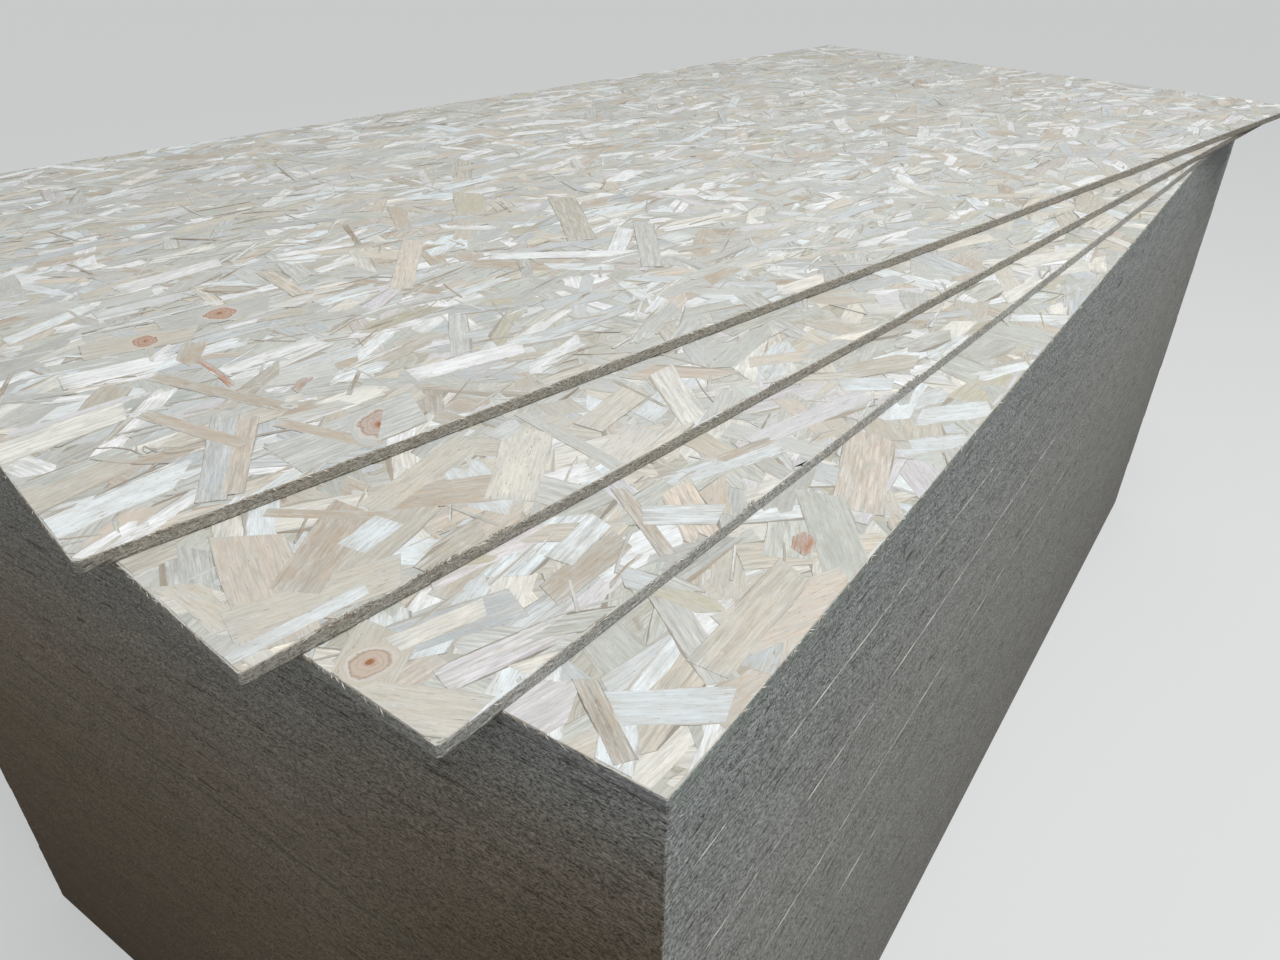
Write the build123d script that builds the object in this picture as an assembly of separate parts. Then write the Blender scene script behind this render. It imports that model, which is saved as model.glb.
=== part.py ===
from build123d import *
import os
import random

# A stack of OSB panels: a squared pile on the floor with three panels fanned round on top of it.
# Millimetres, +Z up. The origin is the middle of the squared pile's underside, +X runs along the
# panels' long side and +Y across them. The near corner of the pile is the one at -X and -Y.

# Panel
panel_length = 2440.0
panel_width = 1220.0
panel_thickness = 12.0

# Sawn edges: a slightly crushed arris all round, and corners bruised by handling
arris = 0.5
corner_bruise_least = 1.0
corner_bruise_most = 5.0

# Torn strands: the saw and the straps have torn chips of wood out of the upper arris of the panels
# that lie open to view. A bite runs along the edge, reaches into the face and drops down the edge.
long_side_bite_count = 9
short_side_bite_count = 5
bite_length_least = 14.0
bite_length_most = 46.0
bite_reach_least = 1.2
bite_reach_most = 4.0
bite_drop_least = 0.7
bite_drop_most = 1.6
bite_skew = 3.0
bite_slope = 16.0
bite_from_corner = 60.0

# Squared pile, in batches that were squared up one by one. For each batch, from the floor up: how
# many panels it has, and how far it lies along and across from the lowest one. Within a batch the
# panels lie nearly flush: each is shifted by up to the shuffle and turned by up to the twist.
batch_panel_counts = (11, 12, 12, 11, 12, 12, 10, 8)
batch_along = (0.0, 0.5, -0.4, 0.3, -0.6, 0.2, -0.5, 0.0)
batch_across = (0.0, -0.9, -1.7, -2.6, -1.9, -1.3, -0.5, 0.1)
panel_shuffle = 0.1
panel_twist = 0.004

# Fanned panels: how far the near corner of each hangs out past the pile's near end, how far it
# has moved across the pile, and its angle, in degrees clockwise seen from above
third_panel_out = 53.0
third_panel_across = 126.0
third_panel_angle = 4.0
second_panel_out = 87.0
second_panel_across = 260.0
second_panel_angle = 8.0
top_panel_out = 88.0
top_panel_across = 437.0
top_panel_angle = 12.8

# The same small accidents every time the model is built
accidents = random.Random(12)


def bruised_outline():
    """The panel's rectangle with each corner knocked off by its own small amount."""
    half_length = panel_length / 2
    half_width = panel_width / 2
    points = []
    for x_side, y_side in ((1, 1), (-1, 1), (-1, -1), (1, -1)):
        along = accidents.uniform(corner_bruise_least, corner_bruise_most)
        across = accidents.uniform(corner_bruise_least, corner_bruise_most)
        on_end = (x_side * half_length, y_side * (half_width - across))
        on_side = (x_side * (half_length - along), y_side * half_width)
        if x_side == y_side:
            points += [on_end, on_side]
        else:
            points += [on_side, on_end]
    return Polygon(*points, align=None)


def panel():
    """One panel, centred on the origin, with its underside at height 0."""
    board = extrude(bruised_outline(), panel_thickness)
    faces = board.faces().sort_by(Axis.Z)
    sharp_edges = faces[0].edges() + faces[-1].edges()
    return chamfer(sharp_edges, arris)


def bite(side_length):
    """One chip torn out of an arris that runs along X, with its outer side towards -Y."""
    length = accidents.uniform(bite_length_least, bite_length_most)
    reach = accidents.uniform(bite_reach_least, bite_reach_most)
    drop = accidents.uniform(bite_drop_least, bite_drop_most)
    skew = accidents.uniform(-bite_skew, bite_skew)
    room = side_length / 2 - bite_from_corner
    along = accidents.uniform(-room, room)
    return Pos(along, 0, 0) * Rot(bite_slope, 0, skew) * Box(length, 2 * reach, 2 * drop)


def torn_panel():
    """A panel with chips torn out of its upper arris on all four sides."""
    half_length = panel_length / 2
    half_width = panel_width / 2
    sides = (
        (0, half_width, panel_length, long_side_bite_count),
        (90, half_length, panel_width, short_side_bite_count),
        (180, half_width, panel_length, long_side_bite_count),
        (270, half_length, panel_width, short_side_bite_count),
    )
    bites = []
    for angle, away, side_length, count in sides:
        arris_line = Rot(0, 0, angle) * Pos(0, -away, panel_thickness)
        bites += [arris_line * bite(side_length) for _ in range(count)]
    return panel() - bites


def squared_panels():
    """The panels of the squared pile, from the floor up. The last one lies open to view."""
    placed = []
    panel_count = sum(batch_panel_counts)
    for count, along, across in zip(batch_panel_counts, batch_along, batch_across):
        for _ in range(count):
            level = len(placed)
            x = along + accidents.uniform(-panel_shuffle, panel_shuffle)
            y = across + accidents.uniform(-panel_shuffle, panel_shuffle)
            twist = accidents.uniform(-panel_twist, panel_twist)
            if level == 0:
                x, y, twist = 0.0, 0.0, 0.0
            board = torn_panel() if level == panel_count - 1 else panel()
            placed.append(Pos(x, y, level * panel_thickness) * Rot(0, 0, twist) * board)
    return placed


def fanned_panel(level, out, across, angle):
    """A loose panel, placed by its near corner and turned clockwise about that corner."""
    height = level * panel_thickness
    corner = Pos(-panel_length / 2 - out, -panel_width / 2 + across, height)
    centre_from_corner = Pos(panel_length / 2, panel_width / 2, 0)
    return corner * Rot(0, 0, -angle) * centre_from_corner * torn_panel()


def solids_of(shapes):
    """All the solids of some shapes, in one list."""
    return [solid for shape in shapes for solid in shape.solids()]


fan = (
    (third_panel_out, third_panel_across, third_panel_angle),
    (second_panel_out, second_panel_across, second_panel_angle),
    (top_panel_out, top_panel_across, top_panel_angle),
)
pile = squared_panels()
loose = []
for out, across, angle in fan:
    loose.append(fanned_panel(len(pile) + len(loose), out, across, angle))
third_panel, second_panel, top_panel = loose

# The panels under the fourth share two nodes, every other one in each, so that no two of one node touch
buried = pile[:-1]
nodes = {
    "panel_top": [top_panel],
    "panel_second": [second_panel],
    "panel_third": [third_panel],
    "panel_fourth": pile[-1:],
    "panels_odd": buried[0::2],
    "panels_even": buried[1::2],
}

os.makedirs("parts", exist_ok=True)
for name, shapes in nodes.items():
    export_step(Compound(solids_of(shapes)), f"parts/{name}.step")
    print(name, len(solids_of(shapes)), "panels")
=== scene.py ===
"""A squared stack of OSB panels on the floor, with its top three panels fanned round.

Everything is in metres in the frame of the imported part: +Z up, the origin in the middle of the
squared pile's underside, +X along the panels' long side. A place on a panel is given in metres along
its long side and across it, from its near corner, which is the one at low X and low Y.
"""

import logging
import math
import random
from dataclasses import dataclass, field, replace
from enum import Enum
from typing import ClassVar, Mapping, NamedTuple, Optional, Sequence

import bpy
import numpy as np
from mathutils import Matrix, Vector
from mathutils.geometry import convex_hull_2d


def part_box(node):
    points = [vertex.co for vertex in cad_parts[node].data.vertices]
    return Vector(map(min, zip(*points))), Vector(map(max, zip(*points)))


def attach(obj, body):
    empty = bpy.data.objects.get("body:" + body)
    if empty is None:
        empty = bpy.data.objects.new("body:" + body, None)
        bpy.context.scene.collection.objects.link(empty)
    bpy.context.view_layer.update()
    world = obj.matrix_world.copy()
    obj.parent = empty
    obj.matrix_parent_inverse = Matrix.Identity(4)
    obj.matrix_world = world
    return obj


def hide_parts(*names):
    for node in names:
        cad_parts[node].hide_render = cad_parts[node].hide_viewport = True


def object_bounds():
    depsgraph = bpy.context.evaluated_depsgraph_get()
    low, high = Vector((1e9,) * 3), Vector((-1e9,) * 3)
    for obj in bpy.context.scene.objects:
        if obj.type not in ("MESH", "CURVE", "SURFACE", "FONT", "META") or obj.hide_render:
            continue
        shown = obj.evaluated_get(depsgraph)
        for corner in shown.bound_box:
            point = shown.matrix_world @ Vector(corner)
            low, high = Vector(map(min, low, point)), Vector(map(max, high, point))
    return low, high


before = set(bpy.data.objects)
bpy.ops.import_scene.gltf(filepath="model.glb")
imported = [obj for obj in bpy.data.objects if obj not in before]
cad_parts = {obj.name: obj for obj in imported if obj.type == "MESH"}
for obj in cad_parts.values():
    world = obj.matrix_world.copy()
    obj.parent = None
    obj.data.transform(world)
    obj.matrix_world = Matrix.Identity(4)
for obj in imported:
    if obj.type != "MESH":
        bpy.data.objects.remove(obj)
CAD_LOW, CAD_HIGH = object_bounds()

log = logging.getLogger("osb_stack")

BODY = "root"
MM = 0.001
TINY = 1e-9
SHORTEST_SIDE = 0.4 * MM

# How far a loose panel's body lies under the highest strand of its face
FACE_DEPTH = 1.05 * MM

# The flat map of a loose panel: its face takes this share of the height, and its edges lie above it
BAKE_MAP = "OFBake"
FACE_SHARE = 0.62
MAP_OF_FACE = np.array([1, FACE_SHARE])
MAP_EDGE = 0.01

Triple = tuple[float, float, float]
Socket = bpy.types.NodeSocket
Sockets = Mapping[str, Socket]


def linear(red: float, green: float, blue: float) -> Triple:
    """A colour given in screen values from 0 to 255, as the linear values that shaders take.

    Args:
        red: the screen value of red.
        green: the screen value of green.
        blue: the screen value of blue.

    Returns:
        The three linear values, from 0 to 1.
    """
    def one(value: float) -> float:
        """One channel, from screen to linear."""
        share = value / 255
        return share / 12.92 if share <= 0.04045 else ((share + 0.055) / 1.055) ** 2.4

    return one(red), one(green), one(blue)


class Tone(Enum):
    """The colours of wood that show in the panels' faces."""

    PALE_GREY = linear(194, 195, 190)
    GREEN_GREY = linear(192, 195, 187)
    COOL_GREY = linear(195, 200, 201)
    # The palest strands: pale wood, partly painted sheen where glossy strands catch the light
    BRIGHT_WITH_SHEEN = linear(240, 242, 241)
    COOL_WHITE = linear(226, 232, 233)
    WARM_WHITE = linear(226, 223, 214)
    LILAC = linear(218, 215, 217)
    CREAM = linear(222, 216, 203)
    BEIGE = linear(202, 195, 181)
    PEACH = linear(205, 194, 180)
    TAN = linear(188, 175, 158)
    OCHRE = linear(195, 189, 168)
    ROSE = linear(202, 193, 188)
    BARK = linear(150, 133, 113)
    RUST = linear(178, 134, 110)


class StrandEnd(Enum):
    """How a strand's end is cut: how far back it lies in half widths, and where across, side to side."""

    SQUARE = ((0.0, -1.0), (0.0, 1.0))
    SLANTED = ((0.8, -1.0), (0.0, 1.0))
    SKEWED = ((0.0, -1.0), (1.5, 1.0))
    POINTED = ((1.7, -1.0), (0.0, 0.2), (1.2, 1.0))
    TORN = ((0.5, -1.0), (0.0, -0.5), (0.9, -0.1), (0.2, 0.45), (0.8, 1.0))
    TAPERED = ((3.4, -1.0), (0.0, 0.8), (0.3, 1.0))


class Finish(Enum):
    """The finishes of a panel's piece, by their numbers in its list of materials."""

    FACE = 0
    SAWN = 1
    KNOT = 2
    HIDDEN = 3


@dataclass(frozen=True)
class Ripple:
    """Smooth random relief over a plane, from 0 to 1, the same for the same seed."""

    seed: int
    cells: int = 128

    def at(self, x: np.ndarray, y: np.ndarray) -> np.ndarray:
        """The relief at some points.

        Args:
            x: the points' first coordinate, in cells.
            y: their second coordinate, in cells.

        Returns:
            One value from 0 to 1 for each point.
        """
        grid = np.random.default_rng(self.seed).random((self.cells, self.cells))
        column = np.floor(x).astype(int)
        row = np.floor(y).astype(int)
        ease_x = (x - column) ** 2 * (3 - 2 * (x - column))
        ease_y = (y - row) ** 2 * (3 - 2 * (y - row))
        column_next = (column + 1) % self.cells
        row_next = (row + 1) % self.cells
        column = column % self.cells
        row = row % self.cells
        low = grid[row, column] * (1 - ease_x) + grid[row, column_next] * ease_x
        high = grid[row_next, column] * (1 - ease_x) + grid[row_next, column_next] * ease_x
        return low * (1 - ease_y) + high * ease_y


@dataclass(frozen=True)
class Board:
    """One panel's place and outline, read from its CAD solid."""

    name: str
    corner: np.ndarray
    along: np.ndarray
    across: np.ndarray
    outline: np.ndarray
    bottom: float
    top: float

    @property
    def length(self) -> float:
        """The panel's long side."""
        return float(self.outline[:, 0].max())

    @property
    def width(self) -> float:
        """The panel's short side."""
        return float(self.outline[:, 1].max())

    @property
    def size(self) -> np.ndarray:
        """The panel's long and short sides."""
        return self.outline.max(0)

    @property
    def thickness(self) -> float:
        """The panel's thickness."""
        return self.top - self.bottom

    def to_frame(self, points: np.ndarray) -> np.ndarray:
        """Points on the panel, as X and Y of the row frame.

        Args:
            points: rows of metres along and across.

        Returns:
            Rows of X and Y.
        """
        return self.corner + points[:, :1] * self.along + points[:, 1:2] * self.across

    def to_board(self, points: np.ndarray) -> np.ndarray:
        """Points of the row frame, as metres along and across the panel.

        Args:
            points: rows of X and Y.

        Returns:
            Rows of metres along and across.
        """
        away = points - self.corner
        return np.stack([away @ self.along, away @ self.across], 1)

    def holds(self, points: np.ndarray, margin: float) -> np.ndarray:
        """Which points of the row frame the panel covers.

        Args:
            points: rows of X and Y.
            margin: how far inside its outline a point has to be.

        Returns:
            True for each point that it covers.
        """
        placed = self.to_board(points)
        inside = (placed > margin) & (placed < self.size - margin)
        return inside.all(1)


def without_flat_points(ring: np.ndarray, least: float = 0.05 * MM) -> np.ndarray:
    """A ring of points without those that lie in line with their neighbours.

    Args:
        ring: rows of X and Y.
        least: how far out of line a point has to be to stay.

    Returns:
        The rows that stay.
    """
    kept = list(ring)
    k = 0
    while k < len(kept):
        before = kept[k - 1]
        after = kept[(k + 1) % len(kept)]
        side = after - before
        away = kept[k] - before
        if abs(side[0] * away[1] - side[1] * away[0]) < least * np.hypot(*side):
            del kept[k]
        else:
            k += 1
    return np.array(kept)


def board_from(points: np.ndarray, name: str) -> Board:
    """The panel that some vertices of a CAD node make.

    Args:
        points: the vertices, as rows of X, Y and Z.
        name: the panel's name.

    Returns:
        The panel.
    """
    hull = convex_hull_2d([Vector(p[:2]) for p in points])
    ring = without_flat_points(points[hull, :2].astype(float))
    turn = np.sum(ring[:, 0] * np.roll(ring[:, 1], -1) - np.roll(ring[:, 0], -1) * ring[:, 1])
    if turn < 0:
        ring = ring[::-1]
    sides = np.roll(ring, -1, 0) - ring
    longest = sides[np.argmax(np.linalg.norm(sides, axis=1))]
    along = longest / np.linalg.norm(longest) * (1 if longest[0] > 0 else -1)
    across = np.array([-along[1], along[0]])
    flat = np.stack([ring @ along, ring @ across], 1)
    near = flat.min(0)
    return Board(
        name=name,
        corner=near[0] * along + near[1] * across,
        along=along,
        across=across,
        outline=flat - near,
        bottom=float(points[:, 2].min()),
        top=float(points[:, 2].max()),
    )


def sharper(board: Board, share: float = 0.3) -> Board:
    """A panel with its bruised corners drawn out to a share of their size.

    Args:
        board: the panel.
        share: how much of each bruise stays.

    Returns:
        The same panel with sharper corners.
    """
    corners = np.where(board.outline > board.size / 2, board.size, 0.0)
    return replace(board, outline=corners + (board.outline - corners) * share)


def boards_of(node: str, thickness: float) -> list[Board]:
    """The panels of one CAD node, from the lowest up.

    Args:
        node: the node's name.
        thickness: a panel's thickness. Panels of one node lie at least that far apart.

    Returns:
        The panels.
    """
    points = np.array([v.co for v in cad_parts[node].data.vertices], float)
    # In pitches a panel's faces lie at a whole level and half a level higher, so a quarter more keeps
    # both clear of the limits between levels
    pitch = 2 * thickness
    level = np.floor((points[:, 2] - points[:, 2].min()) / pitch + 0.25).astype(int)
    return [board_from(points[level == k], f"{node}_{k}") for k in range(level.max() + 1)]


def flat_floats(rows: np.ndarray) -> np.ndarray:
    """Rows of numbers as one run of short floats, which is how Blender takes them."""
    return rows.astype(np.float32).ravel()


@dataclass
class MeshMaker:
    """Gathers the vertices, faces and surface data of one piece, and makes the piece of them."""

    name: str
    places: list[np.ndarray] = field(default_factory=list)
    grains: list[np.ndarray] = field(default_factory=list)
    reaches: list[np.ndarray] = field(default_factory=list)
    tints: list[np.ndarray] = field(default_factory=list)
    bake_places: list[np.ndarray] = field(default_factory=list)
    faces: list[Sequence[int]] = field(default_factory=list)
    finishes: list[int] = field(default_factory=list)
    count: int = 0

    def add(self, places: np.ndarray, grain: np.ndarray, reach: np.ndarray, tint: np.ndarray,
            bake_place: np.ndarray) -> int:
        """Adds vertices.

        Args:
            places: their X, Y and Z.
            grain: metres along and across the grain, and a number that differs from chip to chip.
            reach: the chip's half length and half width, and 1 at the foot of its walls.
            tint: the wood's linear colour, with painted shade on the buried panels' sawn edges and flat
                faces.
            bake_place: where each lies on the piece's flat map, from 0 to 1.

        Returns:
            The number of the first one.
        """
        first = self.count
        size = len(places)
        self.places.append(places)
        self.grains.append(np.broadcast_to(grain, (size, 3)))
        self.reaches.append(np.broadcast_to(reach, (size, 3)))
        self.tints.append(np.broadcast_to(tint, (size, 3)))
        self.bake_places.append(np.broadcast_to(bake_place, (size, 2)))
        self.count += size
        return first

    def face(self, corners: Sequence[int], finish: Finish) -> None:
        """Adds one face, with its vertices in order and its finish."""
        self.faces.append(corners)
        self.finishes.append(finish.value)

    def piece(self, materials: Sequence[bpy.types.Material], replaced: Sequence[str]) -> bpy.types.Object:
        """Makes the piece, and sets what it rides on and stands for.

        Args:
            materials: the finishes, in the order of Finish.
            replaced: the CAD nodes that it stands for.

        Returns:
            The mesh object.
        """
        mesh = bpy.data.meshes.new(self.name)
        mesh.from_pydata(np.concatenate(self.places), [], self.faces)
        mesh.polygons.foreach_set("material_index", self.finishes)
        for name, rows in (("grain", self.grains), ("reach", self.reaches)):
            data = mesh.attributes.new(name, "FLOAT_VECTOR", "POINT").data
            data.foreach_set("vector", flat_floats(np.concatenate(rows)))
        colours = np.concatenate(self.tints)
        opaque = np.ones((len(colours), 1))
        tint = mesh.attributes.new("tint", "FLOAT_COLOR", "POINT").data
        tint.foreach_set("color", flat_floats(np.hstack([colours, opaque])))
        corner_vertex = np.zeros(len(mesh.loops), np.int32)
        mesh.loops.foreach_get("vertex_index", corner_vertex)
        flat_map = mesh.uv_layers.new(name=BAKE_MAP)
        flat_map.data.foreach_set("uv", flat_floats(np.concatenate(self.bake_places)[corner_vertex]))
        for material in materials:
            mesh.materials.append(material)
        mesh.update()
        made = bpy.data.objects.new(self.name, mesh)
        bpy.context.scene.collection.objects.link(made)
        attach(made, BODY)
        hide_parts(*replaced)
        triangles = sum(len(face) - 2 for face in self.faces)
        log.info("%s: %d vertices, %d triangles", self.name, self.count, triangles)
        return made


def clipped(shape: np.ndarray, outline: np.ndarray) -> np.ndarray:
    """The part of a shape that lies inside a convex outline.

    Args:
        shape: the shape's points, in order.
        outline: the outline's points, anticlockwise.

    Returns:
        The points of what is left, which may be none.
    """
    kept = list(shape)
    for start, end in zip(outline, np.roll(outline, -1, 0)):
        if not kept:
            break
        side = end - start
        depth = [side[0] * (p[1] - start[1]) - side[1] * (p[0] - start[0]) for p in kept]
        cut = []
        for k, point in enumerate(kept):
            before = k - 1
            if (depth[k] >= 0) != (depth[before] >= 0):
                share = depth[before] / (depth[before] - depth[k])
                cut.append(kept[before] + share * (point - kept[before]))
            if depth[k] >= 0:
                cut.append(point)
        kept = cut
    shape = np.array(kept).reshape(-1, 2)
    if len(shape) > 2:
        shape = shape[np.linalg.norm(shape - np.roll(shape, 1, 0), axis=1) > SHORTEST_SIDE]
    return shape


@dataclass(frozen=True)
class Strand:
    """One flat chip of wood in a panel's face, its length and width in metres.

    Its sides sway by a share of its half width at four places, two on each half, and its ends are cut
    back by no more than a share of its half length.
    """

    along: float
    across: float
    degrees: float
    length: float
    width: float
    tone: Tone
    ends: tuple[StrandEnd, StrandEnd] = (StrandEnd.SLANTED, StrandEnd.SQUARE)
    bow: float = 0.0
    sway: tuple[float, ...] = (0.05, -0.06, -0.04, 0.07)
    sway_places: tuple[float, float] = (0.32, -0.3)
    furthest_back: float = 0.55

    def directions(self) -> tuple[np.ndarray, np.ndarray]:
        """The strand's own long and cross directions on the panel."""
        turn = math.radians(self.degrees)
        return np.array([math.cos(turn), math.sin(turn)]), np.array([-math.sin(turn), math.cos(turn)])

    def on_board(self, own: np.ndarray) -> np.ndarray:
        """Points in the strand's own directions, as metres along and across the panel."""
        u, v = self.directions()
        return np.array([self.along, self.across]) + own[:, :1] * u + own[:, 1:] * v

    def from_board(self, flat: np.ndarray) -> np.ndarray:
        """Points in metres along and across the panel, in the strand's own directions."""
        away = flat - np.array([self.along, self.across])
        return np.stack([away @ direction for direction in self.directions()], 1)

    def outline(self) -> np.ndarray:
        """The strand's outline about its own middle.

        Returns:
            Rows of metres along and across the strand, anticlockwise.
        """
        half_length = self.length / 2
        half_width = self.width / 2
        furthest_back = self.furthest_back * half_length
        points = []
        for end, sign in zip(self.ends, (1, -1)):
            for back, side in end.value:
                along = half_length - min(back * half_width, furthest_back)
                points.append((sign * along, sign * side * half_width))
            for place, sway in zip(self.sway_places, self.sway[:2] if sign > 0 else self.sway[2:]):
                points.append((sign * place * half_length, sign * (1 + sway) * half_width))
        shape = np.array(points)
        shape[:, 1] += self.bow * (1 - (shape[:, 0] / half_length) ** 2)
        return shape


PLAIN_ENDS = (StrandEnd.SLANTED, StrandEnd.SQUARE)
TORN_ENDS = (StrandEnd.TORN, StrandEnd.POINTED)
WEDGE_ENDS = (StrandEnd.TAPERED, StrandEnd.SQUARE)
CUT_ENDS = (StrandEnd.SQUARE, StrandEnd.SQUARE)
LENS_ENDS = (StrandEnd.POINTED, StrandEnd.POINTED)


def laid(along: float, across: float, length: float, width: float, degrees: float, tone: Tone,
         ends: tuple[StrandEnd, StrandEnd] = PLAIN_ENDS, bow: float = 0.0) -> Strand:
    """A strand given one by one, in millimetres.

    Args:
        along: its middle, along the panel.
        across: its middle, across the panel.
        length: its length.
        width: its width.
        degrees: its angle from the panel's long side, anticlockwise from above.
        tone: its colour.
        ends: how its two ends are cut.
        bow: how far its middle bends to the side.

    Returns:
        The strand.
    """
    return Strand(along * MM, across * MM, degrees, length * MM, width * MM, tone, ends, bow * MM)


@dataclass(frozen=True)
class Knot:
    """A knot in a strand: rings of brown wood in a pale halo, in millimetres on the panel.

    Two waves make its outline uneven. Each is given as how many waves go round it, and their height.
    """

    along: float
    across: float
    length: float
    width: float
    degrees: float
    tone: Tone = Tone.BEIGE
    cut_from: float = -1.0
    paleness: float = 0.0
    corners: int = 24
    slow_wave: tuple[int, float] = (3, 0.05)
    quick_wave: tuple[int, float] = (5, 0.03)

    def outline(self) -> np.ndarray:
        """The knot's outline about its middle, cut straight on one side where a strand's side cuts it.

        Returns:
            Rows of metres along and across the knot, anticlockwise.
        """
        turns = np.arange(self.corners) / self.corners * math.tau
        slow_count, slow_height = self.slow_wave
        quick_count, quick_height = self.quick_wave
        uneven = 1 + slow_height * np.sin(slow_count * turns + self.along)
        uneven += quick_height * np.sin(quick_count * turns + self.across)
        round_it = np.column_stack([np.cos(turns) * self.length / 2, np.sin(turns) * self.width / 2])
        shape = round_it * uneven[:, None]
        shape[:, 1] = np.maximum(shape[:, 1], self.cut_from * self.width / 2)
        return shape * MM

    def as_strand(self) -> Strand:
        """A strand of the knot's size, where it lies."""
        return laid(self.along, self.across, self.length, self.width, self.degrees, self.tone)


@dataclass(frozen=True)
class StrandBlend:
    """A recipe for one layer of loose strands over a panel's face, in metres and degrees.

    The usual width is a share of the way from the least to the most. The widest, the bow and the sway
    are shares of the strand's own length or width.
    """

    count: int
    length: tuple[float, float]
    width: tuple[float, float]
    spread: float
    stray_share: float
    tones: dict[Tone, float]
    usual_width: float = 0.4
    widest: float = 0.7
    bow: float = 0.02
    sway: float = 0.14

    def scatter(self, board: Board, chance: random.Random) -> list[Strand]:
        """Throws the strands down at random.

        Args:
            board: the panel.
            chance: the source of the random numbers.

        Returns:
            The strands, the lowest first.
        """
        names = list(self.tones)
        weights = list(self.tones.values())
        kinds = list(StrandEnd)
        narrow, wide = self.width
        usual = narrow * (1 - self.usual_width) + wide * self.usual_width
        thrown = []
        for _ in range(self.count):
            stray = chance.random() < self.stray_share
            degrees = chance.uniform(-90, 90) if stray else chance.gauss(0, self.spread)
            length = chance.triangular(*self.length)
            width = min(chance.triangular(narrow, wide, usual), self.widest * length)
            thrown.append(Strand(
                along=chance.uniform(-length / 2, board.length + length / 2),
                across=chance.uniform(-length / 2, board.width + length / 2),
                degrees=degrees,
                length=length,
                width=width,
                tone=chance.choices(names, weights)[0],
                ends=(chance.choice(kinds), chance.choice(kinds)),
                bow=chance.gauss(0, self.bow) * length,
                sway=tuple(chance.gauss(0, self.sway) for _ in range(4)),
            ))
        return thrown


def area_of(shape: np.ndarray) -> float:
    """The area of a shape, in square metres."""
    after = np.roll(shape, -1, 0)
    return float(abs(np.sum(shape[:, 0] * after[:, 1] - after[:, 0] * shape[:, 1])) / 2)


def drawn_in(shape: np.ndarray, distance: float) -> np.ndarray:
    """A shape with each corner moved inwards, and no corner moved further than twice the distance.

    Args:
        shape: the shape's points, anticlockwise.
        distance: how far its sides move in.

    Returns:
        As many points.
    """
    sides = np.roll(shape, -1, 0) - shape
    sides = sides / np.maximum(np.linalg.norm(sides, axis=1), TINY)[:, None]
    inward = np.column_stack([-sides[:, 1], sides[:, 0]])
    both = inward + np.roll(inward, 1, 0)
    stretch = 2 / np.maximum((both**2).sum(1), 1.0)
    return shape + both * stretch[:, None] * distance


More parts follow.
